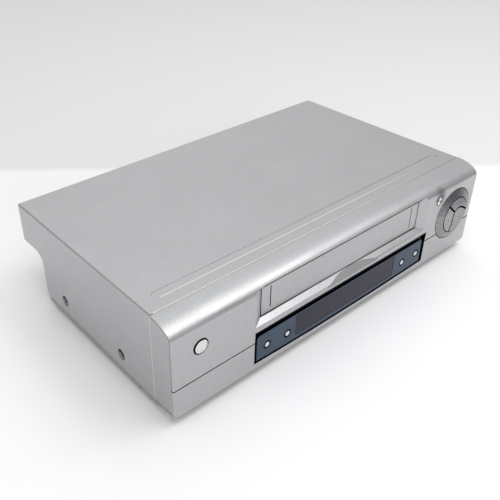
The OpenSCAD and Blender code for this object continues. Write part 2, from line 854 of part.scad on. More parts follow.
// Extrudes an outline drawn round the disc's hub through the disc
module at_hub() {
    translate([disc_x + disc_hub[0], 0, z_front + disc_h + disc_hub[1]])
        along_y(y_front - disc_proud - cut, y_front + disc_t) children();
}

// One of the three transport buttons: a sector of the dished disc between two slots
module sector_button(i) {
    steps = 8;
    next = slot_paths[(i + 1) % 3];
    arc = [for (k = [1 : 3]) disc_arms[i] + k * (sector_to[i] - disc_arms[i]) / 4];
    color("#bcbdbe") union() {
        difference() {
            intersection() {
                translate([disc_x, y_front - disc_proud, z_front + disc_h]) rotate([-90, 0, 0])
                    rotate_extrude($fn = 96) polygon(concat(
                        [for (k = [0 : steps]) let (t = k / steps) [disc_r * t, disc_dish * (1 - t * t)]],
                        [[disc_r, disc_t], [0, disc_t]]));
                at_hub() polygon(concat(slot_paths[i], [for (a = arc) disc_dia * [cos(a), sin(a)]],
                                        [for (k = [len(next) - 1 : -1 : 1]) next[k]]));
            }
            for (path = slot_paths) at_hub() polygon(concat(beside(path, 1), reversed(beside(path, -1))));
        }
        sector_stem(i, y_front - disc_proud + disc_t / 2, y_switch + plunger_in, stem_dia);
    }
}

switch_at = concat([for (i = [0 : 3]) [dot_x[i], z_front + dot_z[i]]],
    [[standby_x, z_front + standby_h], [eject_x, z_front + eject_h]],
    [for (i = [0 : 2]) [disc_x + sector_stem_r * cos(sector_mid(i)),
                        z_front + disc_h + sector_stem_r * sin(sector_mid(i))]]);

module front_board() {
    z0 = z_front + floor_t + seat;
    color("#3f6b3d") along_y(y_board, y_board + board_t)
        polygon([[-board_end_half, z0], [board_end_half, z0], [board_end_half, z_front + board_end_h],
                 [board_mid_half + 4, z_front + board_end_h], [board_mid_half, z_front + board_mid_h],
                 [-board_mid_half, z_front + board_mid_h], [-board_mid_half - 4, z_front + board_end_h],
                 [-board_end_half, z_front + board_end_h]]);
}

module tact_switches() {
    color("#222222") for (at = switch_at) difference() {
        block([at[0] - switch_w / 2, y_switch, at[1] - switch_w / 2],
              [at[0] + switch_w / 2, y_board, at[1] + switch_w / 2]);
        rod_y(at[0], at[1], y_switch - cut, y_switch + plunger_in + press + seat, stem_dia + 2 * seat);
    }
}

// ---------- tape deck ----------

deck_screw_dia = 3;
deck_screw_l = 12;

module track(grow, z1, z2) {
    for (side = [-1, 1]) {
        run = guide_end - guide_start;
        translate([side * guide_start[0], guide_start[1], z1])
            rotate([0, 0, side > 0 ? atan2(run[1], run[0]) : 180 - atan2(run[1], run[0])]) union() {
                translate([0, -guide_track_w / 2, 0]) cube([norm(run), guide_track_w, z2 - z1]);
                cylinder(h = z2 - z1, d = guide_track_w);
                translate([norm(run), 0, 0]) cylinder(h = z2 - z1, d = guide_track_w);
            }
    }
}

module deck_plate() {
    color("#aeb4b8") difference() {
        union() {
            block([-deck_half, y_deck_front, z_deck], [deck_half, y_deck_rear, z_deck_top]);
            for (side = [-1, 1]) post([side * reel_x, reel_y], z_deck, z_wheel + wheel_t + reel_h - 1, reel_pin_dia);
            post([0, centre_y], z_deck - 2, z_deck_top + 0.3, 9);
            post(pinch_pivot, z_deck, z_deck_top + 9, pivot_dia);
            post(tension_pivot, z_deck, z_deck_top + 9, pivot_dia);
            post(loading_wheel_pos, z_deck, motor_pos[2] + 2, pivot_dia);
        }
        post([0, centre_y], z_deck - 3, z_deck_top + 3, centre_shaft_dia + 2 * running);
        post(capstan_pos, z_deck - cut, z_deck_top + cut, bearing_dia + 0.1);
        track(0, z_deck - cut, z_deck_top + cut);
        for (side = [-1, 1], y = deck_leg_y)
            post([side * deck_leg_x, y], z_deck - cut, z_deck_top + cut, deck_screw_dia + 0.4);
    }
}

module deck_screws() {
    color("gray") for (side = [-1, 1], y = deck_leg_y) {
        at = [side * deck_leg_x, y];
        difference() {
            union() {
                post(at, z_deck_top, z_deck_top + 2, 5.6);
                post(at, z_deck - deck_screw_l + 1, z_deck_top + 0.5, deck_screw_dia);
            }
            for (turn = [0, 90]) translate([at[0], at[1], z_deck_top + 2]) rotate([0, 0, turn])
                cube([4, 0.8, 1.6], center = true);
        }
    }
}

// Tilted frame of the drum
z_drum = z_deck_top + 6;
module at_drum() {
    translate([0, drum_y, z_drum]) rotate([-drum_tilt, 0, 0]) children();
}

module lower_drum() {
    color("#c8c8c4") difference() {
        union() {
            post([0, drum_y], z_deck_top, z_drum + 2, drum_base_dia);
            at_drum() cylinder(h = lower_drum_h, d = drum_dia);
        }
        at_drum() translate([0, 0, -10]) cylinder(h = 60, d = drum_shaft_dia + 2 * running);
        block([-40, drum_y - 40, 0], [40, drum_y + 40, z_deck_top]);
        at_drum() translate([0, 0, lower_drum_h - 6]) cylinder(h = 7, d = drum_dia - 12);
    }
}

module head_drum() {
    color("#d4d4d0") at_drum() {
        difference() {
            union() {
                translate([0, 0, lower_drum_h + drum_slit]) cylinder(h = upper_drum_h, d = drum_dia);
                translate([0, 0, 5]) cylinder(h = lower_drum_h + upper_drum_h - 2, d = drum_shaft_dia);
            }
            translate([0, 0, lower_drum_h + drum_slit + upper_drum_h - 3]) difference() {
                cylinder(h = 4, d = drum_dia - 10);
                translate([0, 0, -1]) cylinder(h = 6, d = 22);
            }
            for (a = [0 : 60 : 300]) rotate([0, 0, a]) translate([20, 0, lower_drum_h + drum_slit - 1])
                cylinder(h = upper_drum_h + 2, d = 5);
        }
    }
}

module capstan() {
    color("#c0c0c0") difference() {
        union() {
            post(capstan_pos, z_flywheel, z_flywheel + flywheel_t, flywheel_dia);
            post(capstan_pos, z_belt, z_flywheel + 0.1, pulley_dia);
            post(capstan_pos, z_belt - 2, capstan_top, capstan_dia);
        }
        translate([capstan_pos[0], capstan_pos[1], z_belt + pulley_t / 2]) rotate_extrude()
            translate([pulley_dia / 2 + 0.9, 0]) square([3, belt_w + 0.2], center = true);
    }
}

module capstan_bearing() {
    color("#b08d57") difference() {
        union() {
            post(capstan_pos, z_deck - 0.6, bearing_top, bearing_dia);
            post(capstan_pos, z_deck_top, z_deck_top + 1.5, bearing_dia + 1.2);
        }
        post(capstan_pos, z_deck - 5, z_deck_top + 20, capstan_dia + 2 * running);
    }
}

module capstan_stator() {
    color("#7a5230") difference() {
        post(capstan_pos, z_board_top, z_belt - seat, 44);
        post(capstan_pos, z_board_top + 0.6, z_belt + 1, capstan_dia + 2 * running);
    }
}

// Belt-driven shaft under the reels with a friction wheel on top
module centre_pulley() {
    wheel = 2 * (idler_reach - idler_dia / 2 - seat);
    color("#44484c") difference() {
        union() {
            post([0, centre_y], z_belt, z_belt + pulley_t, centre_dia);
            post([0, centre_y], z_belt, z_wheel + wheel_t, centre_shaft_dia);
            post([0, centre_y], z_wheel, z_wheel + wheel_t, wheel);
        }
        translate([0, centre_y, z_belt + pulley_t / 2]) rotate_extrude()
            translate([centre_dia / 2 + 0.9, 0]) square([3, belt_w + 0.2], center = true);
    }
}

module belt_outline(margin) {
    hull() {
        translate(capstan_pos) circle(d = pulley_dia - 1.2 + 2 * margin + 0.6, $fn = 48);
        translate([0, centre_y]) circle(d = centre_dia - 1.2 + 2 * margin + 0.6, $fn = 48);
    }
}

module drive_belt() {
    color("#1c1c1c") translate([0, 0, z_belt + pulley_t / 2 - belt_w / 2]) linear_extrude(belt_w) difference() {
        belt_outline(belt_t);
        belt_outline(0);
    }
}

idler_arm_t = 1.2;
module idler_arm() {
    z0 = z_deck_top + 0.6;
    color("#d8d8d0") difference() {
        union() {
            post([0, centre_y], z0, z0 + idler_arm_t, 10);
            block([-3, centre_y, z0], [3, centre_y + idler_reach, z0 + idler_arm_t]);
            post([0, centre_y + idler_reach], z0, z_wheel + wheel_t + 1, 3);
            post([0, centre_y + idler_reach], z0, z0 + idler_arm_t, 7);
        }
        post([0, centre_y], z0 - 1, z0 + 5, centre_shaft_dia + 2 * running);
    }
}

module idler_wheel() {
    color("#232323") difference() {
        post([0, centre_y + idler_reach], z_wheel, z_wheel + wheel_t, idler_dia);
        post([0, centre_y + idler_reach], z_wheel - 1, z_wheel + wheel_t + 1, 3 + 2 * running);
    }
}

module reel(side) {
    at = [side * reel_x, reel_y];
    spline_w = 2.2;
    color("#e4e2da") difference() {
        union() {
            post(at, z_wheel, z_wheel + wheel_t, reel_dia);
            post(at, z_deck_top + seat, z_wheel + wheel_t + reel_h - 2, reel_hub_dia - 6);
            for (a = [0 : 120 : 240]) translate([at[0], at[1], z_wheel]) rotate([0, 0, a])
                translate([0, -spline_w / 2, 0]) cube([reel_hub_dia / 2, spline_w, wheel_t + reel_h - 4]);
        }
        post(at, z_deck_top - 1, z_wheel + wheel_t + reel_h + 1, reel_pin_dia + 2 * running);
    }
}

module lever(pivot, reach, angle, tip_dia) {
    tip = pivot + reach * [cos(angle), sin(angle)];
    z0 = z_deck_top + 0.8;
    difference() {
        union() {
            post(pivot, z0, z0 + 7, 9);
            post(tip, z0, z0 + arm_t, 7.6);
            translate([pivot[0], pivot[1], z0]) rotate([0, 0, angle]) translate([0, -3, 0])
                cube([reach, 6, arm_t]);
            post(tip, z0, post_top, tip_dia);
        }
        post(pivot, z0 - 1, z0 + 10, pivot_dia + 2 * running);
    }
}

module pinch_arm() {
    color("#b8b8b0") lever(pinch_pivot, pinch_reach, pinch_rest, 3);
}

module pinch_roller() {
    at = pinch_pivot + pinch_reach * [cos(pinch_rest), sin(pinch_rest)];
    color("#1e1e1e") difference() {
        post(at, tape_low - 2, tape_low + tape_w - 1, pinch_dia);
        post(at, tape_low - 3, tape_low + tape_w, 3 + 2 * running);
    }
}

module tension_arm() {
    color("#b8b8b0") lever(tension_pivot, tension_reach, tension_rest, post_dia);
}

module guide(side) {
    at = [side * guide_start[0], guide_start[1]];
    color("#cfcfc8") union() {
        post(at, z_deck - guide_foot_t, z_deck - seat, guide_base_dia);
        post(at, z_deck - 1, z_deck_top + 2, guide_stem_dia);
        post(at, z_deck_top + seat, z_deck_top + 3.5, guide_base_dia);
        post(at, z_deck_top + 3, post_top, 3);
        post(at, tape_low, tape_low + tape_w, guide_roller_dia);
        post(at, post_top - 1.5, post_top, guide_roller_dia + 1);
    }
}

tape_post_at = [[-62, y_front + 163], [64, y_front + 167]];
module tape_posts() {
    color("#d0d0d0") for (at = tape_post_at) union() {
        post(at, z_deck_top, post_top, post_dia);
        post(at, z_deck_top, tape_low, 8);
        post(at, post_top - 2, post_top, 7);
    }
}

erase_at = [-60, y_front + 148];
sound_at = [55.5, y_front + 154];
module tape_head(at, w, d) {
    union() {
        block([at[0] - w / 2 + 1.5, at[1] - d / 2 + 1, z_deck_top], [at[0] + w / 2 - 1.5, at[1] + d / 2 - 1, tape_low]);
        block([at[0] - w / 2, at[1] - d / 2, tape_low - 1], [at[0] + w / 2, at[1] + d / 2, tape_low + tape_w]);
    }
}

module erase_head() { color("#8d8f92") tape_head(erase_at, 12, 8); }
module sound_head() { color("#8d8f92") tape_head(sound_at, 12, 10); }

module cassette_lamp() {
    color("#202020") union() {
        post([0, lamp_y], z_deck_top, z_deck_top + 18, 6);
        post([0, lamp_y], z_deck_top, z_deck_top + 3, 10);
    }
}

module loading_motor() {
    x = motor_pos[0];
    y = motor_pos[1];
    z = motor_pos[2];
    color("#9fa3a6") union() {
        rod_y(x, z, y, y + motor_l, motor_dia);
        block([x - 6, y + 2, z_deck_top], [x + 7, y + motor_l / 2, z]);
        rod_y(x, z, y - motor_nose, y + 1, 6);
    }
}

module loading_worm() {
    y2 = motor_pos[1] - motor_nose - seat;
    color("#e6e2d0") difference() {
        rod_y(motor_pos[0], motor_pos[2], y2 - worm_l, y2, worm_dia);
        for (i = [1 : worm_l / worm_pitch])
            translate([motor_pos[0], y2 - worm_l + i * worm_pitch - 0.6, motor_pos[2]]) rotate([90, 0, 0])
            rotate_extrude() translate([worm_dia / 2, 0]) square([2, 0.9], center = true);
    }
}

module loading_wheel() {
    teeth = 24;
    z = motor_pos[2];
    color("#e6e2d0") difference() {
        post(loading_wheel_pos, z - 2, z + 2, loading_wheel_dia);
        for (i = [0 : teeth - 1]) translate([loading_wheel_pos[0], loading_wheel_pos[1], z])
            rotate([0, 0, i * 360 / teeth]) translate([loading_wheel_dia / 2, 0, 0])
                cube([2, 1.1, 6], center = true);
        post(loading_wheel_pos, z - 3, z + 3, pivot_dia + 2 * running);
    }
}

// ---------- cassette carriage ----------

module rail(side) {
    slot_w = holder_pin_dia + 2 * slot_clear;
    x1 = side * rail_x;
    x2 = side * (rail_x + rail_t);
    color("#b4babd") difference() {
        union() {
            block([min(x1, x2), y_holder, z_deck_top], [max(x1, x2), y_rail_rear, slider_top + 2]);
            block([min(x1, x1 + side * rail_foot), y_holder, z_deck_top],
                  [max(x1, x1 + side * rail_foot), y_rail_rear, z_deck_top + rail_t]);
        }
        for (y = slider_pin_y) {
            block([min(x1, x2) - cut, y, slider_pin_z - slot_w / 2],
                  [max(x1, x2) + cut, y + run_in, slider_pin_z + slot_w / 2]);
            for (end = [y, y + run_in])
                rod_x(end, slider_pin_z, min(x1, x2) - cut, max(x1, x2) + cut, slot_w);
        }
    }
}

// Slides back on its four pins, with upright slots for the holder's pins
module carriage_slider() {
    slot_w = holder_pin_dia + 2 * slot_clear;
    color("#c4c8ca") difference() {
        union() {
            for (side = [-1, 1]) {
                x1 = side * slider_x;
                x2 = side * (slider_x + slider_t);
                block([min(x1, x2), y_holder, slider_low], [max(x1, x2), y_holder + holder_d + 3, slider_top]);
                for (y = slider_pin_y)
                    rod_x(y, slider_pin_z, side > 0 ? slider_x : -rail_x - rail_t - 1,
                          side > 0 ? rail_x + rail_t + 1 : -slider_x, holder_pin_dia);
            }
            block([-slider_x - slider_t, y_holder + 10, slider_top - slider_t],
                  [slider_x + slider_t, y_holder + holder_d - 10, slider_top]);
        }
        for (side = [-1, 1], y = holder_pin_y) {
            x1 = side > 0 ? slider_x - cut : -slider_x - slider_t - cut;
            block([x1, y - slot_w / 2, holder_pin_z - drop], [x1 + slider_t + 2 * cut, y + slot_w / 2, holder_pin_z]);
            for (z = [holder_pin_z - drop, holder_pin_z]) rod_x(y, z, x1, x1 + slider_t + 2 * cut, slot_w);
        }
    }
}

// Open-fronted tray that holds the cassette: two ledges, two sides, a top and a rear stop
module cassette_holder() {
    z_low = z_cassette - holder_wall;
    z_roof = z_cassette + cassette_h + 0.5;
    color("#d2d5d7") union() {
        for (side = [-1, 1]) {
            wall_x = side * (holder_half + holder_wall / 2);
            translate([wall_x, 0, 0]) block([-holder_wall / 2, y_holder, z_low],
                                            [holder_wall / 2, y_holder + holder_d, z_roof + holder_wall]);
            translate([side * (holder_half + holder_wall - holder_lip / 2), 0, 0])
                block([-holder_lip / 2, y_holder, z_low], [holder_lip / 2, y_holder + holder_d, z_cassette]);
            translate([side * (holder_half + holder_wall - 17), 0, 0])
                block([-17, y_holder + holder_d - stop_t, z_low], [17, y_holder + holder_d, z_roof + holder_wall]);
            for (y = holder_pin_y)
                rod_x(y, holder_pin_z, side > 0 ? holder_half : -slider_x - slider_t - 0.2,
                      side > 0 ? slider_x + slider_t + 0.2 : -holder_half, holder_pin_dia);
        }
        block([-holder_half - holder_wall, y_holder, z_roof],
              [holder_half + holder_wall, y_holder + holder_d, z_roof + holder_wall]);
    }
}

// ---------- electronics ----------

module main_board() {
    color("#3f6b3d") difference() {
        block([-board_half, y_deck_front, z_board], [board_half, y_board_rear, z_board_top]);
        for (side = [-1, 1], y = deck_leg_y)
            post([side * deck_leg_x, y], z_board - cut, z_board_top + cut, deck_leg_dia + 2 * seat);
    }
}

// Transformer: foot plate, core and winding, each [width, depth, low, high] above the board
transformer_at = [32 - board_half, y_front + 140];
transformer_parts = [[36, 30, 0, 5], [32, 16, 5, 31], [22, 26, 8, 28]];
module power_transformer() {
    color("#a8792b") union() for (p = transformer_parts)
        block([transformer_at[0] - p[0] / 2, transformer_at[1] - p[1] / 2, z_board_top + p[2]],
              [transformer_at[0] + p[0] / 2, transformer_at[1] + p[1] / 2, z_board_top + p[3]]);
}

// Upright cans in rows, each [x, y behind the front, diameter, height]
can_rows = concat(
    [[37 - board_half, 60, 22, 32]],
    [for (i = [0 : 2]) [12 - board_half + 15 * i, 40, 10, 18]],
    [for (i = [0 : 5]) [board_half - 7 - 11 * i, 40, 7, 12]],
    [for (i = [0 : 2]) [board_half - 14 - 14 * i, 60, 9, 16]]);
module capacitors() {
    color("#1f2f5c") for (c = can_rows)
        post([c[0], y_front + c[1]], z_board_top, z_board_top + c[3], c[2]);
}

sink_w = 16;
sink_d = 30;
sink_h = 42;
sink_back_t = 3;
sink_fin_t = 1.5;
sink_fins = 6;
sink_at = [10 - board_half, y_front + 84];
module heat_sink() {
    fin_pitch = (sink_d - sink_fin_t) / (sink_fins - 1);
    color("#9aa0a4") translate([sink_at[0], sink_at[1], z_board_top]) union() {
        cube([sink_back_t, sink_d, sink_h]);
        for (i = [0 : sink_fins - 1]) translate([0, i * fin_pitch, 0]) cube([sink_w, sink_fin_t, sink_h]);
    }
}

module tuner_box() {
    y2 = y_step - rear_t - seat;
    color("#c2c6c8") difference() {
        union() {
            block([tuner_x - tuner_w / 2, y2 - tuner_d, z_board_top], [tuner_x + tuner_w / 2, y2, z_board_top + tuner_h]);
            for (x = aerial_x) rod_y(x, aerial_z, y2 - 1, y_step + aerial_l, aerial_dia);
            for (x = aerial_x) rod_y(x, aerial_z, y2 - 1, y_step + collar_proud, aerial_dia + 2 * socket_collar);
        }
        for (x = aerial_x) rod_y(x, aerial_z, y_step - 4, y_step + aerial_l + cut, aerial_dia - 3);
    }
}

module rear_sockets() {
    y1 = y_step - scart_depth;
    z1 = z_board_top + seat;
    color("#1d1d1f") {
        for (x = scart_x) difference() {
            block([x - scart_w / 2, y1, z_board_top], [x + scart_w / 2, y_step + socket_proud, z1 + scart_h]);
            block([x - scart_w / 2 + scart_wall, y1 + scart_wall, z1 + scart_wall],
                  [x + scart_w / 2 - scart_wall, y_step + 5, z1 + scart_h - scart_wall]);
        }
        difference() {
            union() {
                block([jack_x[0] - 8, y1, z_board_top],
                      [jack_x[1] + 8, y_step - rear_t - seat, jack_z + 8]);
                for (x = jack_x) rod_y(x, jack_z, y1, y_step + jack_l, jack_dia);
                for (x = jack_x) rod_y(x, jack_z, y1, y_step + collar_proud, jack_dia + 2 * socket_collar);
            }
            for (x = jack_x) rod_y(x, jack_z, y_step - 4, y_step + jack_l + cut, 3.2);
        }
    }
}

module mains_inlet() {
    y1 = y_step - inlet_depth;
    color("#18181a") union() {
        difference() {
            block([inlet_x - inlet_w / 2, y1, inlet_z - inlet_h / 2],
                  [inlet_x + inlet_w / 2, y_step + socket_proud, inlet_z + inlet_h / 2]);
            block([inlet_x - inlet_w / 2 + 2, y1 + 2, inlet_z - inlet_h / 2 + 2],
                  [inlet_x + inlet_w / 2 - 2, y_step + 5, inlet_z + inlet_h / 2 - 2]);
        }
        for (s = [-1, 1]) rod_y(inlet_x + s * 4.5, inlet_z, y1 + 1, y_step - 2, 2.4);
        block([inlet_x - 8, y1, z_board_top], [inlet_x + 8, y1 + 6, inlet_z - inlet_h / 2 + 0.5]);
    }
}

top_cover();
front_panel();
front_frame();
base_pan();
rear_panel();
feet();
cover_screws();
cassette_flap();
flap_spring();
display_panel();
display_lens();
display_tube();
standby_button();
eject_button();
dot_button(0);  // monitor_button
dot_button(1);  // record_button
dot_button(2);  // channel_down_button
dot_button(3);  // channel_up_button
control_ring();
sector_button(1);  // rewind_button
sector_button(0);  // play_button
sector_button(2);  // forward_button
front_board();
tact_switches();
deck_plate();
deck_screws();
lower_drum();
head_drum();
capstan();
capstan_bearing();
capstan_stator();
centre_pulley();
drive_belt();
idler_arm();
idler_wheel();
reel(-1);  // supply_reel
reel(1);  // takeup_reel
pinch_arm();
pinch_roller();
tension_arm();
guide(-1);  // supply_guide
guide(1);  // takeup_guide
tape_posts();
erase_head();
sound_head();
cassette_lamp();
loading_motor();
loading_worm();
loading_wheel();
rail(-1);  // left_rail
rail(1);  // right_rail
carriage_slider();
cassette_holder();
main_board();
power_transformer();
capacitors();
heat_sink();
tuner_box();
rear_sockets();
mains_inlet();
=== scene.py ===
"""Looks of a compact front-loading video cassette recorder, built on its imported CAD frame.

Millimetre sizes are written as numbers times MM. Every mesh is in metres in the CAD frame, with the front
facing -Y, +X to the right seen from the front and +Z up. Places are measured from the frame's nodes.
"""

import json
import math

import bmesh
import bpy
from mathutils import Matrix, Vector

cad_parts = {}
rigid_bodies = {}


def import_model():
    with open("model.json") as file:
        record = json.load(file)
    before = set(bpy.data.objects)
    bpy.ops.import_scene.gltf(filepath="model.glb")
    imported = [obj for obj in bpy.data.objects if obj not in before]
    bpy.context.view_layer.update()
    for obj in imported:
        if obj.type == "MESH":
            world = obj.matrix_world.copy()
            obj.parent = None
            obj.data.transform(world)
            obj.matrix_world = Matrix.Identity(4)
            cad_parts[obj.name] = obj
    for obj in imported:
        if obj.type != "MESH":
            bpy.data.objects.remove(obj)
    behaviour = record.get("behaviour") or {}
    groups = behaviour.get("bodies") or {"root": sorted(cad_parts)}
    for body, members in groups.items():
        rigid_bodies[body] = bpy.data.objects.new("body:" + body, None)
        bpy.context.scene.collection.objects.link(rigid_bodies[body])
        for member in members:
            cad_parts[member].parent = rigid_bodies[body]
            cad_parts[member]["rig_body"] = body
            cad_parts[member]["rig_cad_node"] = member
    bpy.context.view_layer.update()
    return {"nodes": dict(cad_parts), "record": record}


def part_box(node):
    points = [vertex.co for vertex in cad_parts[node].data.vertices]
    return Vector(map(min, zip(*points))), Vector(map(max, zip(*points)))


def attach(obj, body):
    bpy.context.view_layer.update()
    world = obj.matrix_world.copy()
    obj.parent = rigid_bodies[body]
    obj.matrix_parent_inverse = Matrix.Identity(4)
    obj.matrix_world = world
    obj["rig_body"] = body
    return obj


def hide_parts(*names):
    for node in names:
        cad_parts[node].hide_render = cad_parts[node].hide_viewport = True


bl_info = {
    "name": "Video Cassette Recorder",
    "version": (1, 0, 0),
    "blender": (4, 5, 0),
    "location": "3D View > Sidebar > Recorder",
    "description": "Builds the visible pieces, the finishes and the stage of a video cassette recorder",
    "category": "Object",
}

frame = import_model()
RECORD = frame["record"]
BODY_OF = {node: body for body, nodes in RECORD["behaviour"]["bodies"].items() for node in nodes}
SLOT_OF = {part["node"]: part["material_slot"] for part in RECORD["subparts"]}

MM = 0.001
Y_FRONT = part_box("front_panel")[0][1]
Y_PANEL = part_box("display_panel")[0][1]
Y_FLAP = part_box("cassette_flap")[0][1]
Y_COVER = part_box("top_cover")[0][1]
Y_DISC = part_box("play_button")[0][1]
Z_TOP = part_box("top_cover")[1][2]
Z_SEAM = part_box("front_panel")[0][2]
PANEL_BUTTONS = ("monitor_button", "record_button", "channel_down_button", "channel_up_button")
DISC_BUTTONS = ("rewind_button", "play_button", "forward_button")


def centre(node):
    """Middle of a CAD node as seen from the front: its X and its Z."""
    low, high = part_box(node)
    return (low[0] + high[0]) / 2, (low[2] + high[2]) / 2


# ---------------------------------------------------------------- sizes and colours


def size_property(name, description, millimetres, most, least=0.0):
    """A length that a user can change, given in millimetres."""
    return bpy.props.FloatProperty(
        name=name, description=description, default=millimetres * MM, min=least * MM, max=most * MM,
        unit="LENGTH", precision=5)


def color_property(name, description, color):
    """A linear colour that a user can change."""
    return bpy.props.FloatVectorProperty(
        name=name, description=description, default=color, size=3, subtype="COLOR", min=0.0, max=1.0)


class RecorderShape(bpy.types.PropertyGroup):
    moulded_edge: size_property(
        "Moulded edge", "Radius on the edges of the front mouldings", 0.35, 1.5)
    sheet_edge: size_property(
        "Sheet edge", "Radius on the edges of the cover, the pan and the back", 0.2, 0.6)
    dial_edge: size_property(
        "Dial edge", "Radius on the edges of the flared ring and its three buttons", 0.3, 0.6)
    part_edge: size_property(
        "Part edge", "Radius on the edges of moulded and turned parts", 0.25, 0.5)
    pressed_edge: size_property(
        "Pressed edge", "Radius on the edges of pressed parts and the panel's buttons", 0.15, 0.3)
    fine_edge: size_property(
        "Fine edge", "Radius on the edges of the smallest parts", 0.12, 0.25)
    cup_depth: size_property(
        "Button well depth", "Depth of the dark wells round the small panel buttons", 5.6, 6.0, least=1.0)
    crease_angle: bpy.props.FloatProperty(
        name="Smoothing angle", description="Edges sharper than this stay crisp",
        default=math.radians(32.0), min=0.0, max=math.pi, subtype="ANGLE")


class RecorderFinish(bpy.types.PropertyGroup):
    silver: color_property(
        "Silver paint", "Satin silver of the front mouldings", (0.466, 0.471, 0.478))
    cover_silver: color_property(
        "Cover paint", "Satin silver of the folded cover", (0.47, 0.465, 0.474))
    button_silver: color_property(
        "Button paint", "Glossier silver of the buttons", (0.72, 0.725, 0.73))
    slate: color_property(
        "Slate panel", "Blue-grey of the display panel", (0.022, 0.045, 0.08))
    window: color_property(
        "Window tint", "Dark tint of the display window", (0.010, 0.009, 0.026))
    floor: color_property(
        "Floor", "Colour of the pale floor", (0.94, 0.93, 0.94))


# ---------------------------------------------------------------- modelling helpers

MERGE_DISTANCE = 0.01 * MM
# Faces that meet at less than the first angle are joined, and edges past the second are rounded.
FLAT_ANGLE = math.radians(0.4)
ROUNDED_ANGLE = math.radians(30.0)
# A face looks along an axis where its normal has at least this share of it.
FACING = 0.9


def only(piece):
    """Leaves just one object selected and active."""
    if bpy.context.object and bpy.context.object.mode != "OBJECT":
        bpy.ops.object.mode_set(mode="OBJECT")
    bpy.ops.object.select_all(action="DESELECT")
    piece.select_set(True)
    bpy.context.view_layer.objects.active = piece


def apply_modifier(piece, kind, **settings):
    """Adds one modifier with its settings and applies it."""
    only(piece)
    bpy.ops.object.modifier_add(type=kind)
    modifier = piece.modifiers[-1]
    for key, value in settings.items():
        setattr(modifier, key, value)
    bpy.ops.object.modifier_apply(modifier=modifier.name)


def smooth(piece):
    """Shades a piece smooth, with edges past the smoothing angle left crisp."""
    only(piece)
    bpy.ops.object.shade_smooth_by_angle(angle=bpy.context.scene.recorder_shape.crease_angle)


def settle(piece, name, body, material):
    """Puts the place into the mesh, names the piece and hands it to its body and finish."""
    only(piece)
    bpy.ops.object.transform_apply(location=True, rotation=True, scale=True)
    piece.name = name
    piece.data.name = name
    piece.data.materials.clear()
    piece.data.materials.append(material)
    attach(piece, body)
    return piece


def merged_copy(node):
    """A free copy of a CAD node with its triangles merged and its flat faces joined and cut again."""
    only(frame["nodes"][node])
    bpy.ops.object.duplicate()
    piece = bpy.context.active_object
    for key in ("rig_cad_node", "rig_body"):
        if key in piece:
            del piece[key]
    piece.parent = None
    piece.matrix_world = Matrix.Identity(4)
    bpy.ops.object.mode_set(mode="EDIT")
    bpy.ops.mesh.select_all(action="SELECT")
    bpy.ops.mesh.remove_doubles(threshold=MERGE_DISTANCE)
    bpy.ops.mesh.dissolve_limited(angle_limit=FLAT_ANGLE)
    bpy.ops.mesh.quads_convert_to_tris(quad_method="BEAUTY", ngon_method="BEAUTY")
    bpy.ops.object.mode_set(mode="OBJECT")
    return piece


def refined(node, width, segments=2):
    """Shows a merged copy of a CAD node in its place, with edges rounded by a width, or 0 for crisp ones."""
    piece = merged_copy(node)
    if width > 0:
        apply_modifier(piece, "BEVEL", width=width, segments=segments, limit_method="ANGLE",
                       angle_limit=ROUNDED_ANGLE, use_clamp_overlap=False, loop_slide=False,
                       miter_outer="MITER_SHARP")
    smooth(piece)
    if width > 0:
        # Flat faces keep their own direction beside the rounded edges.
        apply_modifier(piece, "WEIGHTED_NORMAL", keep_sharp=True)
    settle(piece, "shown_" + node, BODY_OF[node], FINISHES[SLOT_OF[node]])
    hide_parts(node)
    return piece


def edit(piece):
    """Opens a piece in edit mode with nothing selected and gives its editable mesh."""
    only(piece)
    bpy.ops.object.mode_set(mode="EDIT")
    bpy.ops.mesh.select_mode(type="FACE")
    bpy.ops.mesh.select_all(action="DESELECT")
    return bmesh.from_edit_mesh(piece.data)


def leave_edit(piece):
    """Takes a piece back to object mode with its edits."""
    bmesh.update_edit_mesh(piece.data)
    bpy.ops.object.mode_set(mode="OBJECT")


def pick_faces(mesh, test):
    """Selects the faces that pass a test, in edit mode."""
    for face in mesh.faces:
        face.select_set(test(face))


def facing_front_disc(x, z, y, radius, depth, sides=48):
    """A cylinder that lies along Y, from y back by its depth."""
    bpy.ops.object.select_all(action="DESELECT")
    bpy.ops.mesh.primitive_cylinder_add(
        vertices=sides, radius=radius, depth=depth, location=(x, y + depth / 2, z),
        rotation=(math.pi / 2, 0, 0))
    piece = bpy.context.active_object
    only(piece)
    bpy.ops.object.transform_apply(location=True, rotation=True, scale=True)
    return piece


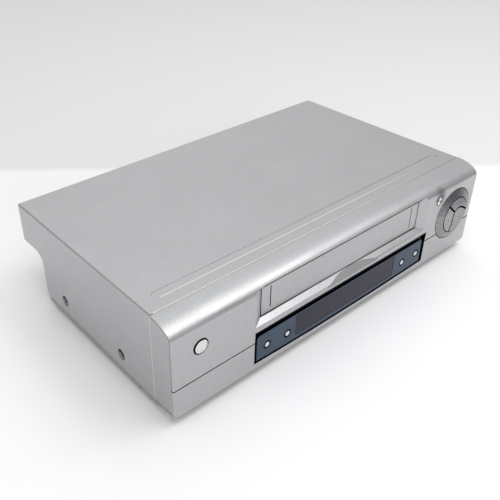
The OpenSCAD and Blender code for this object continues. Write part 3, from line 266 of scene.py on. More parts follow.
def button_well(node, depth):
    """A dark cup behind the panel's hole round a button, open to the front, with a hole for the stem; its
    black stands in for the shade inside the hole.
    """
    outer, inner, stem = 3.66 * MM, 3.35 * MM, 1.6 * MM
    bottom = 0.5 * MM
    fewest_round_sides = 8
    start = Y_FRONT + 1.15 * MM
    x, z = centre(node)
    piece = facing_front_disc(x, z, start, outer, depth)
    # The front face is sunk inside a rim and becomes the floor of the cup.
    mesh = edit(piece)
    pick_faces(mesh, lambda face: face.normal.y < -FACING)
    bpy.ops.mesh.inset(thickness=outer - inner)
    bpy.ops.transform.translate(value=(0, depth - bottom, 0))
    leave_edit(piece)
    # The floor and the back are opened round the stem, and the two openings are joined by a wall.
    mesh = edit(piece)
    pick_faces(mesh, lambda face: abs(face.normal.y) > FACING and len(face.verts) > fewest_round_sides)
    bpy.ops.mesh.inset(thickness=inner - stem, use_individual=True)
    bpy.ops.mesh.delete(type="FACE")
    bpy.ops.mesh.select_mode(type="EDGE")
    mesh = bmesh.from_edit_mesh(piece.data)
    for rim in mesh.edges:
        rim.select_set(rim.is_boundary)
    bpy.ops.mesh.bridge_edge_loops()
    leave_edit(piece)
    smooth(piece)
    return settle(piece, "well_" + node, "casing", FINISHES["well_black"])


# ---------------------------------------------------------------- shader node helpers

COLUMN_WIDTH = 220
ROW_HEIGHT = 190


def feed(tree, socket, value):
    """Links an output to a socket, or gives the socket a plain value."""
    if isinstance(value, bpy.types.NodeSocket):
        tree.links.new(value, socket)
    else:
        socket.default_value = value


def add(tree, kind, **values):
    """Adds a node, sets its properties, and its inputs by socket name with _ for each space."""
    node = tree.nodes.new(kind)
    for key, value in values.items():
        if hasattr(node, key):
            setattr(node, key, value)
        else:
            feed(tree, node.inputs[key.replace("_", " ")], value)
    return node


def lay_out(tree):
    """Sets a tree's nodes in columns, each one left of every node that it feeds."""
    column = {node.name: 0 for node in tree.nodes}
    moved = True
    while moved:
        moved = False
        for link in tree.links:
            source, target = link.from_node.name, link.to_node.name
            if column[source] <= column[target]:
                column[source] = column[target] + 1
                moved = True
    rows = {}
    for node in tree.nodes:
        place = column[node.name]
        row = rows.get(place, 0)
        node.location = (-place * COLUMN_WIDTH, -row * ROW_HEIGHT)
        rows[place] = row + 1


def object_place(tree):
    """Object coordinates, from one node that a tree's patterns share."""
    node = tree.nodes.get("Place")
    if node is None:
        node = add(tree, "ShaderNodeTexCoord", name="Place")
    return node.outputs["Object"]


def object_axis(tree, axis):
    """One Object coordinate as a value."""
    split = tree.nodes.get("Axes")
    if split is None:
        split = add(tree, "ShaderNodeSeparateXYZ", name="Axes", Vector=object_place(tree))
    return split.outputs[axis]


def math_node(tree, operation, *values):
    """A Math node whose operands are sockets or numbers; gives its output."""
    node = add(tree, "ShaderNodeMath", operation=operation)
    for socket, value in zip(node.inputs, values):
        feed(tree, socket, value)
    return node.outputs["Value"]


def noise(tree, vector, scale, detail, roughness):
    """Noise at a vector; gives its value."""
    return add(tree, "ShaderNodeTexNoise", Vector=vector, Scale=scale, Detail=detail,
               Roughness=roughness).outputs["Fac"]


def remap(tree, value, low, high, to_low=0.0, to_high=1.0):
    """A value taken from one range to another and held at its ends."""
    return add(tree, "ShaderNodeMapRange", Value=value, From_Min=low, From_Max=high, To_Min=to_low,
               To_Max=to_high).outputs["Result"]


def brightened(tree, color, factor):
    """A colour times a factor."""
    node = add(tree, "ShaderNodeVectorMath", operation="SCALE", Scale=factor)
    feed(tree, node.inputs[0], color)
    return node.outputs["Vector"]


def mixed(tree, factor, under, over):
    """One colour socket that turns into another colour as the factor goes to 1."""
    node = add(tree, "ShaderNodeMix", data_type="RGBA")
    sockets = {socket.identifier: socket for socket in node.inputs}
    feed(tree, sockets["Factor_Float"], factor)
    feed(tree, sockets["A_Color"], under)
    feed(tree, sockets["B_Color"], (*over, 1.0))
    return next(socket for socket in node.outputs if socket.identifier == "Result_Color")


# ---------------------------------------------------------------- shared effects


def new_effect(name, **inputs):
    """A shader node group with inputs of their defaults' kinds; gives its tree and its input sockets."""
    tree = bpy.data.node_groups.new(name, "ShaderNodeTree")
    kinds = {1: "NodeSocketFloat", 3: "NodeSocketVector", 4: "NodeSocketColor"}
    for key, default in inputs.items():
        kind = kinds[1 if isinstance(default, float) else len(default)]
        socket = tree.interface.new_socket(name=key.replace("_", " "), in_out="INPUT", socket_type=kind)
        socket.default_value = default
    return tree, tree.nodes.new("NodeGroupInput").outputs


def put_out(tree, color, roughness, height):
    """Ends an effect group with its colour, roughness and height."""
    for label, kind in (("Color", "NodeSocketColor"), ("Roughness", "NodeSocketFloat"),
                        ("Height", "NodeSocketFloat")):
        tree.interface.new_socket(name=label, in_out="OUTPUT", socket_type=kind)
    add(tree, "NodeGroupOutput", Color=color, Roughness=roughness, Height=height)
    lay_out(tree)
    return tree


def make_paint_group():
    """Metallic paint: fine flakes, slow mottling and handling smudges."""
    tree, given = new_effect(
        "Metallic Paint", Color=(0.5, 0.5, 0.5, 1.0), Flake_Scale=1600.0, Flake_Amount=0.12, Roughness=0.4)
    place = object_place(tree)
    flake = add(tree, "ShaderNodeTexVoronoi", Vector=place, Scale=given["Flake Scale"])
    shine = add(tree, "ShaderNodeSeparateColor", Color=flake.outputs["Color"])
    centred = math_node(tree, "SUBTRACT", shine.outputs["Red"], 0.5)
    flecks = math_node(tree, "MULTIPLY", centred, given["Flake Amount"])
    clouds = noise(tree, place, scale=14.0, detail=3.0, roughness=0.55)
    mottling = remap(tree, clouds, low=0.3, high=0.7, to_low=-0.02, to_high=0.02)
    brightness = math_node(tree, "ADD", math_node(tree, "ADD", flecks, mottling), 1.0)
    touches = noise(tree, place, scale=38.0, detail=4.0, roughness=0.6)
    smudges = remap(tree, touches, low=0.35, high=0.75, to_low=-0.035, to_high=0.06)
    return put_out(tree, brightened(tree, given["Color"], brightness),
                   math_node(tree, "ADD", smudges, given["Roughness"]),
                   noise(tree, place, scale=900.0, detail=2.0, roughness=0.5))


def make_grain_group():
    """Moulded plastic or rubber: fine spark-eroded grain with slow colour drift."""
    tree, given = new_effect(
        "Moulded Grain", Color=(0.2, 0.2, 0.2, 1.0), Scale=900.0, Drift=0.08, Roughness=0.5)
    place = object_place(tree)
    grain = noise(tree, place, scale=given["Scale"], detail=3.0, roughness=0.6)
    clouds = math_node(tree, "SUBTRACT", noise(tree, place, scale=30.0, detail=3.0, roughness=0.5), 0.5)
    brightness = math_node(tree, "ADD", math_node(tree, "MULTIPLY", clouds, given["Drift"]), 1.0)
    unevenness = remap(tree, grain, low=0.3, high=0.7, to_low=-0.05, to_high=0.05)
    return put_out(tree, brightened(tree, given["Color"], brightness),
                   math_node(tree, "ADD", unevenness, given["Roughness"]), grain)


def make_brush_group():
    """Brushed or rolled metal: fine lines along one axis and faint stains."""
    stain_share, roughness_share = 0.5, 0.3
    tree, given = new_effect(
        "Brushed Metal", Color=(0.5, 0.5, 0.5, 1.0), Stretch=(30.0, 1500.0, 1500.0), Contrast=0.25,
        Roughness=0.35)
    place = object_place(tree)
    stretched = add(tree, "ShaderNodeVectorMath", operation="MULTIPLY")
    feed(tree, stretched.inputs[0], place)
    feed(tree, stretched.inputs[1], given["Stretch"])
    lines = noise(tree, stretched.outputs["Vector"], scale=1.0, detail=3.0, roughness=0.6)
    stain = noise(tree, place, scale=45.0, detail=4.0, roughness=0.6)
    stained = math_node(tree, "MULTIPLY", math_node(tree, "SUBTRACT", stain, 0.5), stain_share)
    streaks = math_node(tree, "ADD", math_node(tree, "SUBTRACT", lines, 0.5), stained)
    brightness = math_node(tree, "ADD", math_node(tree, "MULTIPLY", streaks, given["Contrast"]), 1.0)
    unevenness = math_node(tree, "MULTIPLY", streaks, roughness_share)
    return put_out(tree, brightened(tree, given["Color"], brightness),
                   math_node(tree, "ADD", unevenness, given["Roughness"]), lines)


# ---------------------------------------------------------------- masks and layers

# Colours of painted shade: black in gaps, near black for the painted shadow in the screw dimples, deep shade
# for painted shade on the transport disc and ring.
BLACK = (0.004, 0.004, 0.005)
NEAR_BLACK = (0.015, 0.015, 0.017)
DEEP_SHADE = (0.09, 0.09, 0.1)
# Masks on a surface start this far outside it.
REACH = 1.0 * MM


def any_of(tree, *masks):
    """The strongest of several masks."""
    result = masks[0]
    for mask in masks[1:]:
        result = math_node(tree, "MAXIMUM", result, mask)
    return result


def all_of(tree, *masks):
    """All of several masks at once."""
    result = masks[0]
    for mask in masks[1:]:
        result = math_node(tree, "MULTIPLY", result, mask)
    return result


def slab(tree, **ranges):
    """Mask that is 1 between two places along each named axis of the Object coordinates."""
    return all_of(tree, *(
        math_node(tree, "COMPARE", object_axis(tree, axis), (low + high) / 2, (high - low) / 2)
        for axis, (low, high) in ranges.items()))


def beyond(tree, value, limit):
    """Mask that is 1 where a value is more than a limit."""
    return math_node(tree, "GREATER_THAN", value, limit)


def within(tree, value, limit):
    """Mask that is 1 where a value is less than a limit."""
    return math_node(tree, "LESS_THAN", value, limit)


def away(tree, axis, place):
    """How far a point lies past a place along one axis."""
    return math_node(tree, "SUBTRACT", object_axis(tree, axis), place)


def off_centre(tree, across_at, z, axis="X"):
    """Distance from a level line through (X, Z), or through (Y, Z) for one that runs across."""
    across = away(tree, axis, across_at)
    upward = away(tree, "Z", z)
    squares = math_node(tree, "ADD", math_node(tree, "MULTIPLY", across, across),
                        math_node(tree, "MULTIPLY", upward, upward))
    return math_node(tree, "SQRT", squares)


def overlay(material, factor, color):
    """Lays a colour over a material's base colour where a mask is 1."""
    tree = material.node_tree
    base = tree.nodes["Principled BSDF"].inputs["Base Color"]
    tree.links.new(mixed(tree, factor, base.links[0].from_socket, color), base)


def paint_gap_shade(material, factor):
    """Painted shade: black without any reflection where a mask is 1, standing in for the shade inside a gap.
    """
    overlay(material, factor, BLACK)
    tree = material.node_tree
    metallic = tree.nodes["Principled BSDF"].inputs["Metallic"]
    tree.links.new(math_node(tree, "MAXIMUM", factor, metallic.default_value), metallic)


# ---------------------------------------------------------------- finishes

GROUPS = {}
FINISHES = {}
PAINT_METAL = 0.85
SATIN = {"Flake Scale": 1600.0, "Flake Amount": 0.14, "Roughness": 0.37}
RELIEF_HEIGHT = 0.05 * MM


def finish(name, group, color, metallic, effect_values, bump=0.05, **shader_values):
    """A material: one shared effect group feeding a Principled shader."""
    material = bpy.data.materials.new(name)
    material.use_nodes = True
    tree = material.node_tree
    shader = tree.nodes["Principled BSDF"]
    shader.inputs["Metallic"].default_value = metallic
    for key, value in shader_values.items():
        shader.inputs[key.replace("_", " ")].default_value = value
    effect = tree.nodes.new("ShaderNodeGroup")
    effect.node_tree = GROUPS[group]
    effect.inputs["Color"].default_value = (*color, 1.0)
    for key, value in effect_values.items():
        effect.inputs[key].default_value = value
    tree.links.new(effect.outputs["Color"], shader.inputs["Base Color"])
    tree.links.new(effect.outputs["Roughness"], shader.inputs["Roughness"])
    relief = add(tree, "ShaderNodeBump", Strength=bump, Distance=RELIEF_HEIGHT,
                 Height=effect.outputs["Height"])
    tree.links.new(relief.outputs["Normal"], shader.inputs["Normal"])
    return material


def cover_paint(color):
    """Cover: satin paint, with a painted highlight along its front edge and its groove that fades out toward
    the right, painted shade in the dimples round the screws and a painted shadow over the upper part of each
    dimple.
    """
    groove_highlight, edge_highlight, dimple_shade = (0.95, 0.95, 0.95), (0.68, 0.68, 0.68), (0.27, 0.26, 0.28)
    groove_start, groove_half = Y_FRONT + 36.0 * MM, 172.0 * MM
    line_before, line_after, line_depth = 0.6 * MM, 0.2 * MM, 0.4 * MM
    edge_width = 0.75 * MM
    fade_start, fade_end = 60.0 * MM, 150.0 * MM
    cone_radius, shade_radius = 4.9 * MM, 4.6 * MM
    shade_forward, shade_up = 0.2 * MM, 1.3 * MM
    material = finish("Cover Paint", "paint", color, PAINT_METAL, SATIN)
    tree = material.node_tree
    # Painted highlights along the groove and the front edge, fading out toward the right.
    groove = slab(tree, X=(-groove_half, groove_half), Z=(Z_TOP - line_depth, Z_TOP + REACH),
                  Y=(groove_start - line_before, groove_start + line_after))
    edge = slab(tree, Y=(Y_COVER - REACH, Y_COVER + edge_width))
    highlight_fade = remap(tree, object_axis(tree, "X"), fade_start, fade_end, to_low=1.0, to_high=0.0)
    overlay(material, all_of(tree, highlight_fade, groove), groove_highlight)
    overlay(material, all_of(tree, highlight_fade, edge), edge_highlight)
    low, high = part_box("cover_screws")
    head_radius = (high[2] - low[2]) / 2
    z = centre("cover_screws")[1]
    for y in (low[1] + head_radius, high[1] - head_radius):
        # Painted shade over each screw's dimple, and a darker painted shadow over its upper part.
        overlay(material, within(tree, off_centre(tree, y, z, "Y"), cone_radius), dimple_shade)
        shade = off_centre(tree, y - shade_forward, z + shade_up, "Y")
        overlay(material, within(tree, shade, shade_radius), NEAR_BLACK)
    return material


def front_paint(color):
    """Front mouldings: satin paint, with painted shade in black on the walls of the mouths and of every hole,
    in the flap's recess, under its lip and along the seam, painted shadow crescents by the standby and eject
    holes, and a soft painted shade above the eject button.
    """
    # Painted shade: a soft dark patch above the eject button, full near its middle and fading outward.
    eject_shade_color, eject_shade_strength = (0.07, 0.07, 0.075), 0.8
    eject_shade_full, eject_shade_end = 3.0 * MM, 10.0 * MM
    eject_shade_right, eject_shade_up = 1.0 * MM, 4.0 * MM
    hole_radius = {"standby_button": 7.15 * MM, "control_ring": 27.5 * MM, "eject_button": 5.2 * MM}
    # Painted shadow crescents on the face at the upper left of the standby and eject holes.
    shadow_crescent_radius = {"standby_button": 7.1 * MM, "eject_button": 4.4 * MM}
    shadow_crescent_shift = 0.2 * MM
    wall_start, wall_end = 0.3 * MM, 12.0 * MM
    # Distances from the sides, foot and top of the display panel's box and of the flap's box.
    mouth_side, mouth_foot, mouth_top = 1.8 * MM, 1.3 * MM, 1.9 * MM
    recess_side, recess_gap, recess_start, recess_end = 5.95 * MM, 1.2 * MM, 0.12 * MM, 8.0 * MM
    lip_side, lip_below, lip_above = 7.2 * MM, 2.0 * MM, 1.5 * MM
    # Distances from the lower edge of the upper moulding.
    seam_below, seam_above, seam_depth = 0.85 * MM, 0.2 * MM, 3.0 * MM
    material = finish("Front Paint", "paint", color, PAINT_METAL, SATIN)
    tree = material.node_tree
    inside = slab(tree, Y=(Y_FRONT + wall_start, Y_FRONT + wall_end))
    low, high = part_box("display_panel")
    gap_shades = [all_of(tree, inside, slab(tree, X=(low[0] + mouth_side, high[0] - mouth_side),
                                       Z=(low[2] - mouth_foot, high[2] - mouth_top)))]
    for node, radius in hole_radius.items():
        gap_shades.append(all_of(tree, inside, within(tree, off_centre(tree, *centre(node)), radius)))
    low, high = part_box("cassette_flap")
    recess = slab(tree, X=(low[0] + recess_side, high[0] - recess_side),
                  Y=(Y_FLAP + recess_start, Y_FLAP + recess_end),
                  Z=(low[2] - recess_gap, high[2] + recess_gap))
    lip = slab(tree, X=(low[0] + lip_side, high[0] - lip_side), Y=(Y_FRONT - REACH, Y_FLAP + recess_end),
               Z=(high[2] - lip_below, high[2] + lip_above))
    seam = slab(tree, Y=(Y_FRONT - REACH, Y_FRONT + seam_depth), Z=(Z_SEAM - seam_below, Z_SEAM - seam_above))
    gap_shades += [recess, lip, seam]
    for node, radius in shadow_crescent_radius.items():
        x, z = centre(node)
        gap_shades.append(within(tree, off_centre(tree, x - shadow_crescent_shift, z + shadow_crescent_shift), radius))
    x, z = centre("eject_button")
    eject_shade = off_centre(tree, x + eject_shade_right, z + eject_shade_up)
    overlay(material, remap(tree, eject_shade, eject_shade_full, eject_shade_end, eject_shade_strength, 0.0), eject_shade_color)
    # Painted shade in black on the walls, the recess, under the lip, along the seam and on the crescents.
    paint_gap_shade(material, any_of(tree, *gap_shades))
    return material


def flap_paint(color):
    """Flap: satin paint, with painted shade in black in the gaps at its sides and foot and in the grooves of
    its two marks.
    """
    side_at, side_start, side_end = 99.72 * MM, 0.3 * MM, 9.0 * MM
    mark_inner, mark_outer, mark_low, mark_high = 89.3 * MM, 90.7 * MM, 50.0 * MM, 80.1 * MM
    mark_start, mark_end = 0.25 * MM, 1.2 * MM
    foot_height = 0.3 * MM
    material = finish("Flap Paint", "paint", color, PAINT_METAL, SATIN)
    tree = material.node_tree
    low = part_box("cassette_flap")[0]
    across = math_node(tree, "ABSOLUTE", away(tree, "X", centre("cassette_flap")[0]))
    sides = all_of(tree, slab(tree, Y=(Y_FLAP + side_start, Y_FLAP + side_end)),
                   beyond(tree, across, side_at))
    marks = all_of(tree, slab(tree, Y=(Y_FLAP + mark_start, Y_FLAP + mark_end), Z=(mark_low, mark_high)),
                   beyond(tree, across, mark_inner), within(tree, across, mark_outer))
    foot = slab(tree, Z=(0.0, low[2] + foot_height))
    # Painted shade in the side gaps, in the grooves of the marks and at the foot.
    paint_gap_shade(material, any_of(tree, sides, marks, foot))
    return material


def button_paint(color):
    """Buttons: glossier silver, with painted shade in black on the sides that stand in their holes and
    painted shadow crescents at the upper left of the small buttons' faces; the transport disc is darker grey,
    with painted shade toward its top and small marks.
    """
    disc_color, mark_color = (0.3, 0.3, 0.305), (0.04, 0.04, 0.045)
    disc_radius, dish_radius = 22.0 * MM, 18.3 * MM
    dish_middle, dish_rim = Y_DISC + 1.25 * MM, Y_DISC + 0.45 * MM
    shade_start, shade_end, shade_strength = 3.0 * MM, 12.0 * MM, 0.7
    mark_places = ((4.9 * MM, 12.0 * MM), (10.2 * MM, -6.7 * MM), (-9.7 * MM, -3.7 * MM))
    mark_radius, mark_depth = 0.9 * MM, 1.2 * MM
    # Painted shadow crescents: each face is black outside a circle shifted to the lower right.
    lit_radius = {"standby_button": 5.9 * MM, **dict.fromkeys(PANEL_BUTTONS, 2.7 * MM)}
    lit_shift, button_reach = 0.25 * MM, 8.0 * MM
    panel_half, panel_top, panel_start = 120.0 * MM, 45.0 * MM, 0.15 * MM
    upper_low, upper_high, upper_start = 56.0 * MM, 90.0 * MM, 0.1 * MM
    side_depth = 20.0 * MM
    material = finish("Button Paint", "paint", color, PAINT_METAL,
                      {"Flake Scale": 2200.0, "Flake Amount": 0.12, "Roughness": 0.26})
    tree = material.node_tree
    disc_x, disc_z = centre("control_ring")
    apart = off_centre(tree, disc_x, disc_z)
    disc = within(tree, apart, disc_radius)
    level = remap(tree, math_node(tree, "MULTIPLY", apart, apart), 0.0, dish_radius ** 2,
                  dish_middle, dish_rim)
    disc_side = all_of(tree, disc, beyond(tree, object_axis(tree, "Y"), level))
    panel_side = slab(tree, X=(-panel_half, panel_half), Y=(Y_PANEL + panel_start, Y_PANEL + side_depth),
                      Z=(0.0, panel_top))
    upper_zone = slab(tree, Y=(Y_FRONT + upper_start, Y_FRONT + side_depth), Z=(upper_low, upper_high))
    upper_side = all_of(tree, upper_zone, math_node(tree, "SUBTRACT", 1.0, disc))
    marks = [within(tree, off_centre(tree, disc_x + x, disc_z + z), mark_radius) for x, z in mark_places]
    mark = all_of(tree, any_of(tree, *marks), slab(tree, Y=(Y_DISC - REACH, Y_DISC + mark_depth)))
    # Painted shade that grows toward the top of the transport disc.
    shade = remap(tree, away(tree, "Z", disc_z), shade_start, shade_end, 0.0, shade_strength)
    shadow_crescents = []
    for node, radius in lit_radius.items():
        x, z = centre(node)
        shadow_crescents.append(all_of(tree, within(tree, off_centre(tree, x, z), button_reach),
                                beyond(tree, off_centre(tree, x + lit_shift, z - lit_shift), radius)))
    overlay(material, disc, disc_color)
    overlay(material, all_of(tree, disc, shade), DEEP_SHADE)
    overlay(material, mark, mark_color)
    # Painted shade in black on the crescents and on the sides in the holes.
    overlay(material, any_of(tree, *shadow_crescents, disc_side, panel_side, upper_side), BLACK)
    return material


def ring_paint(color):
    """Flared ring: fine lines that run out from the middle, painted shade growing toward its top, and painted
    shade in black on its inner and outer walls.
    """
    paint_share, line_share, line_strength = 0.8, 0.3, 0.75
    lines_round, lines_outward = 26.0, 90.0
    inner_radius, outer_radius = 19.2 * MM, 26.45 * MM
    wall_start, wall_end = 0.15 * MM, 9.0 * MM
    shade_end, shade_strength = 22.0 * MM, 0.8
    material = finish("Ring Paint", "paint", tuple(part * paint_share for part in color), PAINT_METAL,
                      {"Flake Scale": 1800.0, "Flake Amount": 0.14, "Roughness": 0.3})
    tree = material.node_tree
    x, z = centre("control_ring")
    raised = away(tree, "Z", z)
    apart = off_centre(tree, x, z)
    turn = math_node(tree, "ARCTAN2", raised, away(tree, "X", x))
    rays = add(tree, "ShaderNodeCombineXYZ", X=math_node(tree, "MULTIPLY", turn, lines_round),
               Y=math_node(tree, "MULTIPLY", apart, lines_outward))
    streaks = noise(tree, rays.outputs["Vector"], scale=1.0, detail=2.0, roughness=0.7)
    lines = remap(tree, streaks, low=0.38, high=0.62, to_low=0.0, to_high=line_strength)
    overlay(material, lines, tuple(part * line_share for part in color))
    # Painted shade that grows toward the top of the ring.
    overlay(material, remap(tree, raised, 0.0, shade_end, 0.0, shade_strength), DEEP_SHADE)
    # Painted shade in black on the inner and outer walls.
    outer = all_of(tree, beyond(tree, apart, outer_radius),
                   slab(tree, Y=(Y_FRONT + wall_start, Y_FRONT + wall_end)))
    overlay(material, any_of(tree, within(tree, apart, inner_radius), outer), BLACK)
    return material


def slate_panel(color):
    """Slate panel: satin plastic, with painted shade in black behind its face and painted shadow crescents
    round the buttons, and a red dot by the window.
    """
    lamp_color, lamp_radius = (0.16, 0.03, 0.02), 0.8 * MM
    lamp_left, lamp_up = 0.4 * MM, 0.1 * MM
    rim_radius, rim_shift = 4.1 * MM, 0.35 * MM
    edge_start, edge_end = 0.3 * MM, 9.0 * MM
    material = finish("Slate Panel", "grain", color, 0.0, {"Scale": 1400.0, "Drift": 0.1, "Roughness": 0.33},
                      Specular_IOR_Level=0.42)
    tree = material.node_tree
    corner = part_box("display_lens")[0]
    lamp = off_centre(tree, corner[0] - lamp_left, corner[2] + lamp_up)
    overlay(material, within(tree, lamp, lamp_radius), lamp_color)
    # Painted shade in black behind the face, and painted shadow crescents at the upper left of the button
    # holes.
    black = [slab(tree, Y=(Y_PANEL + edge_start, Y_PANEL + edge_end))]
    for node in PANEL_BUTTONS:
        x, z = centre(node)
        black.append(within(tree, off_centre(tree, x - rim_shift, z + rim_shift), rim_radius))
    paint_gap_shade(material, any_of(tree, *black))
    return material


def smoked_window(color):
    """Smoked window with a slow change of tint."""
    tint_shares = (1.25, 0.85, 1.1)
    material = finish("Smoked Window", "grain", color, 0.0, {"Drift": 0.2, "Roughness": 0.1}, bump=0.0,
                      Specular_IOR_Level=0.3)
    tree = material.node_tree
    clouds = noise(tree, object_place(tree), scale=16.0, detail=1.0, roughness=0.4)
    tint = tuple(part * share for part, share in zip(color, tint_shares))
    overlay(material, remap(tree, clouds, low=0.4, high=0.62), tint)
    return material


def marked_finishes(colors):
    """The finishes that have lines, shades or marks of their own, by material slot."""
    return {
        "silver_sheet": cover_paint(tuple(colors.cover_silver)),
        "silver_moulding": front_paint(tuple(colors.silver)),
        "flap_silver": flap_paint(tuple(colors.silver)),
        "button_silver": button_paint(tuple(colors.button_silver)),
        "ring_silver": ring_paint(tuple(colors.silver)),
        "slate_panel": slate_panel(tuple(colors.slate)),
        "dark_lens": smoked_window(tuple(colors.window)),
    }


def plain_finishes():
    """The finishes that are the same all over, by material slot."""
    return {
        "pan_grey": finish(
            "Base Pan Paint", "grain", (0.36, 0.345, 0.30), 0.1, {"Scale": 700.0, "Roughness": 0.5}),
        "rear_grey": finish(
            "Back Sheet", "brush", (0.42, 0.42, 0.415), 0.75,
            {"Stretch": (25.0, 900.0, 900.0), "Contrast": 0.18, "Roughness": 0.42}),
        "foot_rubber": finish(
            "Foot Rubber", "grain", (0.022, 0.022, 0.022), 0.0,
            {"Scale": 1200.0, "Drift": 0.25, "Roughness": 0.75}, bump=0.2),
        "screw_black": finish(
            "Black Zinc", "brush", (0.02, 0.02, 0.022), 0.9,
            {"Stretch": (400.0, 900.0, 900.0), "Contrast": 0.3, "Roughness": 0.32}),
        "spring_steel": finish(
            "Spring Wire", "brush", (0.52, 0.52, 0.53), 1.0, {"Roughness": 0.25}),
        "display_glass": finish(
            "Display Tube", "grain", (0.10, 0.13, 0.13), 0.0, {"Roughness": 0.15, "Scale": 300.0}),
        "board_green": finish(
            "Circuit Board", "brush", (0.035, 0.12, 0.045), 0.0,
            {"Stretch": (900.0, 900.0, 900.0), "Contrast": 0.5, "Roughness": 0.42}),
        "switch_black": finish(
            "Switch Moulding", "grain", (0.02, 0.02, 0.02), 0.0, {"Roughness": 0.45}),
        "deck_steel": finish(
            "Plated Steel", "brush", (0.52, 0.53, 0.54), 0.9,
            {"Stretch": (30.0, 1100.0, 1100.0), "Contrast": 0.22, "Roughness": 0.34}),
        "drum_aluminium": finish(
            "Turned Aluminium", "brush", (0.68, 0.68, 0.67), 1.0,
            {"Stretch": (40.0, 40.0, 2200.0), "Contrast": 0.18, "Roughness": 0.2}),
        "shaft_steel": finish(
            "Ground Steel", "brush", (0.6, 0.6, 0.61), 1.0,
            {"Stretch": (60.0, 60.0, 2000.0), "Contrast": 0.15, "Roughness": 0.18}),
        "bearing_brass": finish(
            "Sintered Bronze", "grain", (0.42, 0.27, 0.12), 0.9, {"Roughness": 0.4}),
        "coil_copper": finish(
            "Coil Resin", "brush", (0.26, 0.10, 0.035), 0.4,
            {"Stretch": (250.0, 250.0, 1800.0), "Contrast": 0.6, "Roughness": 0.35}),
        "gear_white": finish(
            "Natural Moulding", "grain", (0.62, 0.60, 0.52), 0.0, {"Roughness": 0.42},
            Subsurface_Weight=0.05),
        "pulley_grey": finish(
            "Dark Moulding", "grain", (0.06, 0.064, 0.07), 0.0, {"Roughness": 0.45}),
        "drive_rubber": finish(
            "Drive Rubber", "grain", (0.018, 0.018, 0.018), 0.0,
            {"Drift": 0.3, "Roughness": 0.68}, bump=0.15),
        "head_metal": finish(
            "Screen Metal", "brush", (0.36, 0.37, 0.38), 0.95, {"Roughness": 0.26}),
        "motor_can": finish(
            "Motor Can", "brush", (0.42, 0.43, 0.44), 0.95,
            {"Stretch": (900.0, 30.0, 900.0), "Roughness": 0.3}),
        "core_brown": finish(
            "Varnished Core", "brush", (0.22, 0.12, 0.035), 0.1,
            {"Stretch": (40.0, 40.0, 1600.0), "Contrast": 0.7, "Roughness": 0.4}),
        "can_blue": finish(
            "Can Sleeve", "grain", (0.014, 0.026, 0.10), 0.0, {"Roughness": 0.3}),
        "socket_black": finish(
            "Socket Moulding", "grain", (0.022, 0.022, 0.024), 0.0, {"Roughness": 0.5}),
        "tuner_steel": finish(
            "Tinned Steel", "brush", (0.56, 0.57, 0.58), 0.9,
            {"Stretch": (900.0, 40.0, 900.0), "Contrast": 0.25, "Roughness": 0.3}),
        # Near-black wells behind the button holes stand in for the shade inside them.
        "well_black": finish(
            "Well Black", "grain", (0.003, 0.003, 0.003), 1.0, {"Roughness": 0.6}),
    }


# ---------------------------------------------------------------- stage

FLOOR_SIZE = 12.0
WALL_DIRECTION = (0.637, 0.771, 0.0)
WALL_START, WALL_END = 0.206, 0.222
WALL_SHARE = 0.85
ROOM_COLOR = (1.0, 1.0, 1.01, 1.0)
ROOM_LIGHT = 0.3
# Brighter parts of the room: direction, cosine where each begins and is full, and the light that it adds.
ROOM_LOBES = (
    ((0.0, 0.0, 1.0), 0.0, 1.0, 0.5),
    ((0.1, 0.1, 1.0), 0.75, 0.98, 0.26),
    ((0.5, 0.66, 0.56), 0.80, 0.97, 0.38),
    ((0.3, 0.7, 0.65), 0.85, 0.98, 0.11),
)
LAMP_AIM = Vector((0.0, 0.0, 0.05))
# Soft lamps: name, place, width, height and power.
LAMPS = (
    ("band", (0.42, -0.25, 1.35), 0.75, 0.2, 1.4),
    ("low_band", (0.62, -0.62, 1.28), 1.0, 0.35, 4.0),
    ("left_band", (-0.2, -0.3, 1.5), 0.6, 0.3, 2.4),
    ("front", (-0.5, -1.6, 0.7), 1.0, 0.6, 5.2),
)
# The photograph's viewpoint: azimuth, elevation and roll in degrees, place in metres, lens in millimetres.
CAMERA_TURN = (-39.459, 32.346, -0.605)
CAMERA_PLACE = (-0.3862, -0.39206, 0.39369)
CAMERA_LENS, CAMERA_SENSOR = 47.894, 36.0
CAMERA_SHIFT = (0.0832, -0.0465)
CAMERA_CLIP = (0.01, 50.0)


def pale_floor(color):
    """A matt floor that is a shade darker beyond a line behind the recorder."""
    bpy.ops.object.select_all(action="DESELECT")
    bpy.ops.mesh.primitive_plane_add(size=FLOOR_SIZE, location=(0, 0, 0))
    ground = bpy.context.active_object
    ground.name = "floor"
    material = bpy.data.materials.new("Pale Floor")
    material.use_nodes = True
    tree = material.node_tree
    shader = tree.nodes["Principled BSDF"]
    shader.inputs["Roughness"].default_value = 0.75
    shader.inputs["Specular IOR Level"].default_value = 0.2
    place = object_place(tree)
    backward = add(tree, "ShaderNodeVectorMath", operation="DOT_PRODUCT")
    feed(tree, backward.inputs[0], place)
    feed(tree, backward.inputs[1], WALL_DIRECTION)
    wall = remap(tree, backward.outputs["Value"], WALL_START, WALL_END)
    clouds = noise(tree, place, scale=3.0, detail=2.0, roughness=0.5)
    toned = brightened(tree, color, remap(tree, clouds, low=0.3, high=0.7, to_low=0.985, to_high=1.015))
    tree.links.new(mixed(tree, wall, toned, tuple(part * WALL_SHARE for part in color)),
                   shader.inputs["Base Color"])
    lay_out(tree)
    ground.data.materials.append(material)


